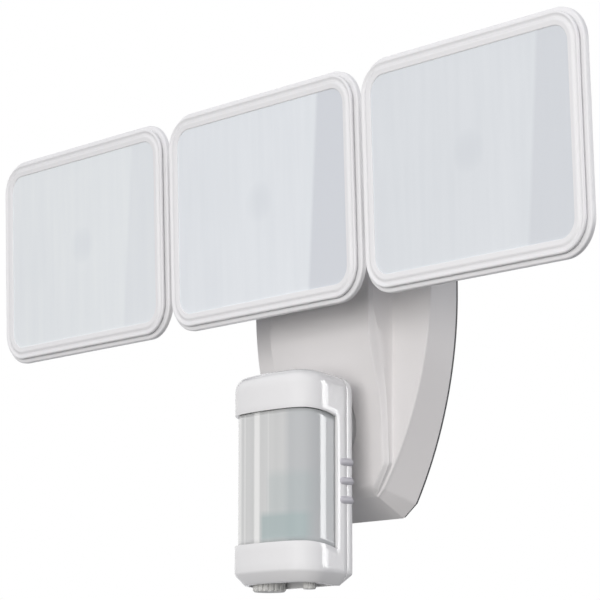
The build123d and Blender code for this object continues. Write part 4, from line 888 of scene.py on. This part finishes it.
def matching_height(z, source, target):
    """Maps heights of one outline to those of another, corner to corner."""
    marks = ["bottom", "foot", "start"]
    old = [source[m] for m in marks] + [source["top"] - source["corner"], source["top"]]
    new = [target[m] for m in marks] + [target["top"] - target["corner"], target["top"]]
    return np.interp(z, old, new)


print("box width at the wall", 2 * half_width(np.array([0.0]), REAR)[0])

# %% The spine's height
SPINE_HALF, SPINE_BEVEL, SPINE_TRIM = 35.5, 1.5, 1.6
EDGE_ROUND, SPINE_FILLET = 1.0, 0.6
# How far the spine's face, and the outer edge of its bevel, stand out from the wall by height.
FACE_Z = [-107.5, -103.5, -92.0, -78.0, -65.0, -56.0, -45.0, -33.0, -31.0, -11.0, -9.0, 1.0, 2.0, 49.4, 50.0]
FACE_OUT = [16.5, 20.7, 20.8, 21.5, 22.7, 24.3, 27.2, 29.6, 29.8, 29.8, 29.5, 20.3, 20.0, 20.0, 16.5]
BEVEL_Z = [-107.5, -103.5, -96.0, -83.0, -65.0, -56.0, -40.0, -31.0, -20.0, -9.0, 1.0, 49.4, 50.0]
BEVEL_OUT = [16.5, 18.2, 18.6, 19.1, 19.7, 20.8, 22.7, 25.5, 28.3, 27.5, 18.6, 18.6, 16.5]


def rounded_line(z, marks, heights, spread=1.6):
    """A line through the marks with its corners eased: the mean of five shifted readings."""
    shifts = np.array([-1.0, -0.5, 0.0, 0.5, 1.0]) * spread
    ease = np.clip(np.minimum(z - marks[0], marks[-1] - z) / spread, 0, 1)
    return sum(np.interp(z + shift * ease, marks, heights) for shift in shifts) / len(shifts)


def cover_rows():
    """Heights of the rows on the front, in spans (from, to, count), closer where the surface bends."""
    top, foot, bottom = FRONT["top"], FRONT["foot"], FRONT["bottom"]
    spans = [(top, 50.2, 4), (50.2, 49.2, 6), (49.2, 4.0, 20), (4.0, -12.0, 15), (-12.0, -30.0, 8),
             (-30.0, -100.0, 44), (-100.0, foot, 6), (foot, bottom, 10)]
    return np.concatenate([np.linspace(a, b, n + 1)[:-1] for a, b, n in spans] + [[bottom]])


def edge_sink(distance):
    """How far the rounded edge falls back at a distance from the border: a quarter circle."""
    near = np.clip(EDGE_ROUND - distance, 0, EDGE_ROUND)
    return EDGE_ROUND - np.sqrt(EDGE_ROUND ** 2 - near ** 2)


def cover_front(inset):
    """The front as points x, y, z; inset is 0 outside and the wall's thickness inside."""
    z = cover_rows()
    edge = half_width(z, FRONT) - inset
    spine = np.minimum(SPINE_HALF - inset, edge - SPINE_TRIM)
    face, bevel = rounded_line(z, FACE_Z, FACE_OUT), rounded_line(z, BEVEL_Z, BEVEL_OUT)
    quarter = np.radians(np.linspace(0, 90, 5))[1:]
    columns, outs = [], []
    for share in np.linspace(0, 1, 17):
        columns.append((spine - SPINE_BEVEL) * share)
        outs.append(face)
    for share in (0.15, 0.5, 0.85, 1.0):
        columns.append(spine - SPINE_BEVEL * (1 - share))
        outs.append(face + (bevel - face) * (share - 0.1 * math.sin(2 * math.pi * share)))
    for share in quarter:
        columns.append(spine + SPINE_FILLET * (1 - math.cos(share)))
        outs.append(BOX_DEPTH + (bevel - BOX_DEPTH) * (1 - math.sin(share)))
    for share in (0.33, 0.67, 1.0):
        columns.append(spine + SPINE_FILLET + (edge - EDGE_ROUND - spine - SPINE_FILLET) * share)
        outs.append(np.full_like(z, BOX_DEPTH))
    for share in quarter:
        columns.append(edge - EDGE_ROUND + EDGE_ROUND * math.sin(share))
        outs.append(np.full_like(z, BOX_DEPTH - EDGE_ROUND * (1 - math.cos(share))))
    x, out = np.stack(columns, axis=1), np.stack(outs, axis=1) - inset
    border_out = BOX_DEPTH - inset - edge_sink(FRONT["top"] - z) - edge_sink(z - FRONT["bottom"])
    spine_free = (z < FACE_Z[-1]) & (z > FACE_Z[0] + 0.1)
    out = np.minimum(out, np.where(spine_free, np.inf, border_out)[:, None])
    x, out = np.concatenate([-x[:, :0:-1], x], axis=1), np.concatenate([out[:, :0:-1], out], axis=1)
    z = np.clip(z, FRONT["bottom"] + inset, FRONT["top"] - inset)
    z = np.repeat(z[:, None], x.shape[1], axis=1)
    return np.stack([x, -out, z], axis=-1)


print("front grid", cover_front(0.0).shape)

# %% The whole cover
HOLE_RADIUS, HOLE_MARGIN = 17.1, 0.4


def border(grid):
    """The outer loop of a grid: first row, right column, last row and left column."""
    return np.concatenate([grid[0], grid[1:, -1], grid[-1, -2::-1], grid[-2:0:-1, 0]])


def drawn_in(outline, inset):
    """An outline whose top and bottom are an inset nearer to its middle."""
    return dict(outline, top=outline["top"] - inset, bottom=outline["bottom"] + inset)


def wall_of(front, inset, rear_y):
    """Side wall from the front's border back to the outline at the wall, as rings."""
    loop = border(front)
    z_rear = matching_height(loop[:, 2], drawn_in(FRONT, inset), drawn_in(REAR, inset))
    z_front = np.clip(loop[:, 2], FRONT["bottom"], FRONT["top"])
    widest_front = np.maximum(half_width(z_front, FRONT) - inset, 1.0)
    widest_rear = half_width(z_rear, REAR) - inset
    rear = np.stack([loop[:, 0] / widest_front * widest_rear, np.full(len(loop), rear_y), z_rear], axis=1)
    shares = np.array([0.0, 0.06, 0.5, 0.96, 1.0])[:, None, None]
    return loop[None] * (1 - shares) + rear[None] * shares


def corners_of(faces):
    """Marks the grid points at the corners of marked faces."""
    rows, columns = faces.shape
    marked = np.zeros((rows + 1, columns + 1), bool)
    for dv in (0, 1):
        for du in (0, 1):
            marked[dv:rows + dv, du:columns + du] |= faces
    return marked


outer_front, inner_front = cover_front(0.0), cover_front(BOX_WALL)
from_ball = np.hypot(outer_front[..., 0], outer_front[..., 2] - BALL[2])
within = from_ball < HOLE_RADIUS + HOLE_MARGIN
cut = within[:-1, :-1] | within[1:, :-1] | within[:-1, 1:] | within[1:, 1:]
touched = corners_of(cut)
pull = HOLE_RADIUS / np.maximum(from_ball, 0.1)
hole_x, hole_z = outer_front[..., 0] * pull, BALL[2] + (outer_front[..., 2] - BALL[2]) * pull
for front, inset in ((outer_front, 0.0), (inner_front, BOX_WALL)):
    face_there = inset - rounded_line(hole_z, FACE_Z, FACE_OUT)
    for axis, moved in enumerate((hole_x, face_there, hole_z)):
        front[..., axis] = np.where(touched, moved, front[..., axis])
outer_wall, inner_wall = wall_of(outer_front, 0.0, -BOX_REAR), wall_of(inner_front, BOX_WALL, -BOX_REAR)
rim = np.stack([outer_wall[-1], inner_wall[-1]])


def hole_edge(front):
    """Points of the border between kept and cut faces, in order round the hole."""
    points = front[touched & corners_of(~cut)]
    return points[np.argsort(np.arctan2(points[:, 2] - BALL[2], points[:, 0]))]


hole_sleeve = np.stack([hole_edge(outer_front), hole_edge(inner_front)])
skins = [surface("outer", outer_front, keep=~cut), surface("inner", inner_front, keep=~cut),
         surface("wall", outer_wall, close_u=True), surface("inside", inner_wall, close_u=True),
         surface("rim", rim, close_u=True), surface("hole", hole_sleeve, close_u=True)]
cover = smooth_join(skins, "wall_box_cover", merge=0.00003, angle=35)
# The cover's darker white is painted shade.
install(cover, box_white_shaded, "wall_box", "white_casting", "canopy")

# %% [markdown]
# The arms and the side screws do not sit on the bare side wall: each has a raised pad with a
# soft edge. Inside, four short standoffs carry the power board.

# %% Pads and standoffs
# Each pad: its face's X, the middle's Y and Z, then half its size along Y and Z.
ARM_PAD, SCREW_PAD = (64.0, -8.25, HEAD_MIDDLE, 6.25, 9.0), (63.2, -7.75, 0.0, 5.75, 5.0)
PAD_ROOT, PAD_SOFT, PAD_CORNER = 59.5, 0.6, 2.0
STANDOFF_X, STANDOFF_Z, STANDOFF_RADIUS, STANDOFF_FACE, STANDOFF_ROOT = 25.0, (34.0, 6.0), 3.0, -16.6, -19.0


def pad(side, top, y, z, half_y, half_z):
    """Rounded rectangles stacked along X: a straight wall, a quarter-round edge, then the face."""
    turn = np.radians(np.linspace(0, 90, 5))
    edge = [(PAD_SOFT * (1 - math.cos(a)), top - PAD_SOFT * (1 - math.sin(a))) for a in turn]
    rings = []
    for inset, x in [(0.0, PAD_ROOT)] + edge:
        ring = rounded_rectangle(half_y - inset, half_z - inset, PAD_CORNER - inset,
                                 corner_steps=8, side_steps=2)
        rings.append(np.stack([np.full(len(ring), side * x), y + ring[:, 0], z + ring[:, 1]], axis=1))
    middle = np.tile([side * top, y, z], (len(rings[0]), 1))
    back = np.tile([side * PAD_ROOT, y, z], (len(rings[0]), 1))
    return surface("pad", np.stack([back] + rings + [middle]), close_u=True)


def standoff(x, z):
    """A short round pillar along Y, as rings of radius 0, full, full less a small edge, and 0."""
    turn = np.linspace(0, 2 * math.pi, 33)[:-1]
    rows = ((0.0, STANDOFF_ROOT), (1.0, STANDOFF_ROOT), (1.0, STANDOFF_FACE - 0.3), (0.9, STANDOFF_FACE),
            (0.0, STANDOFF_FACE))
    return surface("standoff", np.stack([np.stack([
        x + share * STANDOFF_RADIUS * np.cos(turn), np.full(len(turn), y),
        z + share * STANDOFF_RADIUS * np.sin(turn)], axis=1) for share, y in rows]), close_u=True)


pads = [pad(side, *place) for side in (-1, 1) for place in (ARM_PAD, SCREW_PAD)]
install(smooth_join(pads, "wall_box_pads", angle=50), box_white_shaded, "wall_box", "white_casting")
pillars = [standoff(side * STANDOFF_X, z) for side in (-1, 1) for z in STANDOFF_Z]
install(smooth_join(pillars, "wall_box_standoffs", angle=50), box_white_shaded, "wall_box", "white_casting")
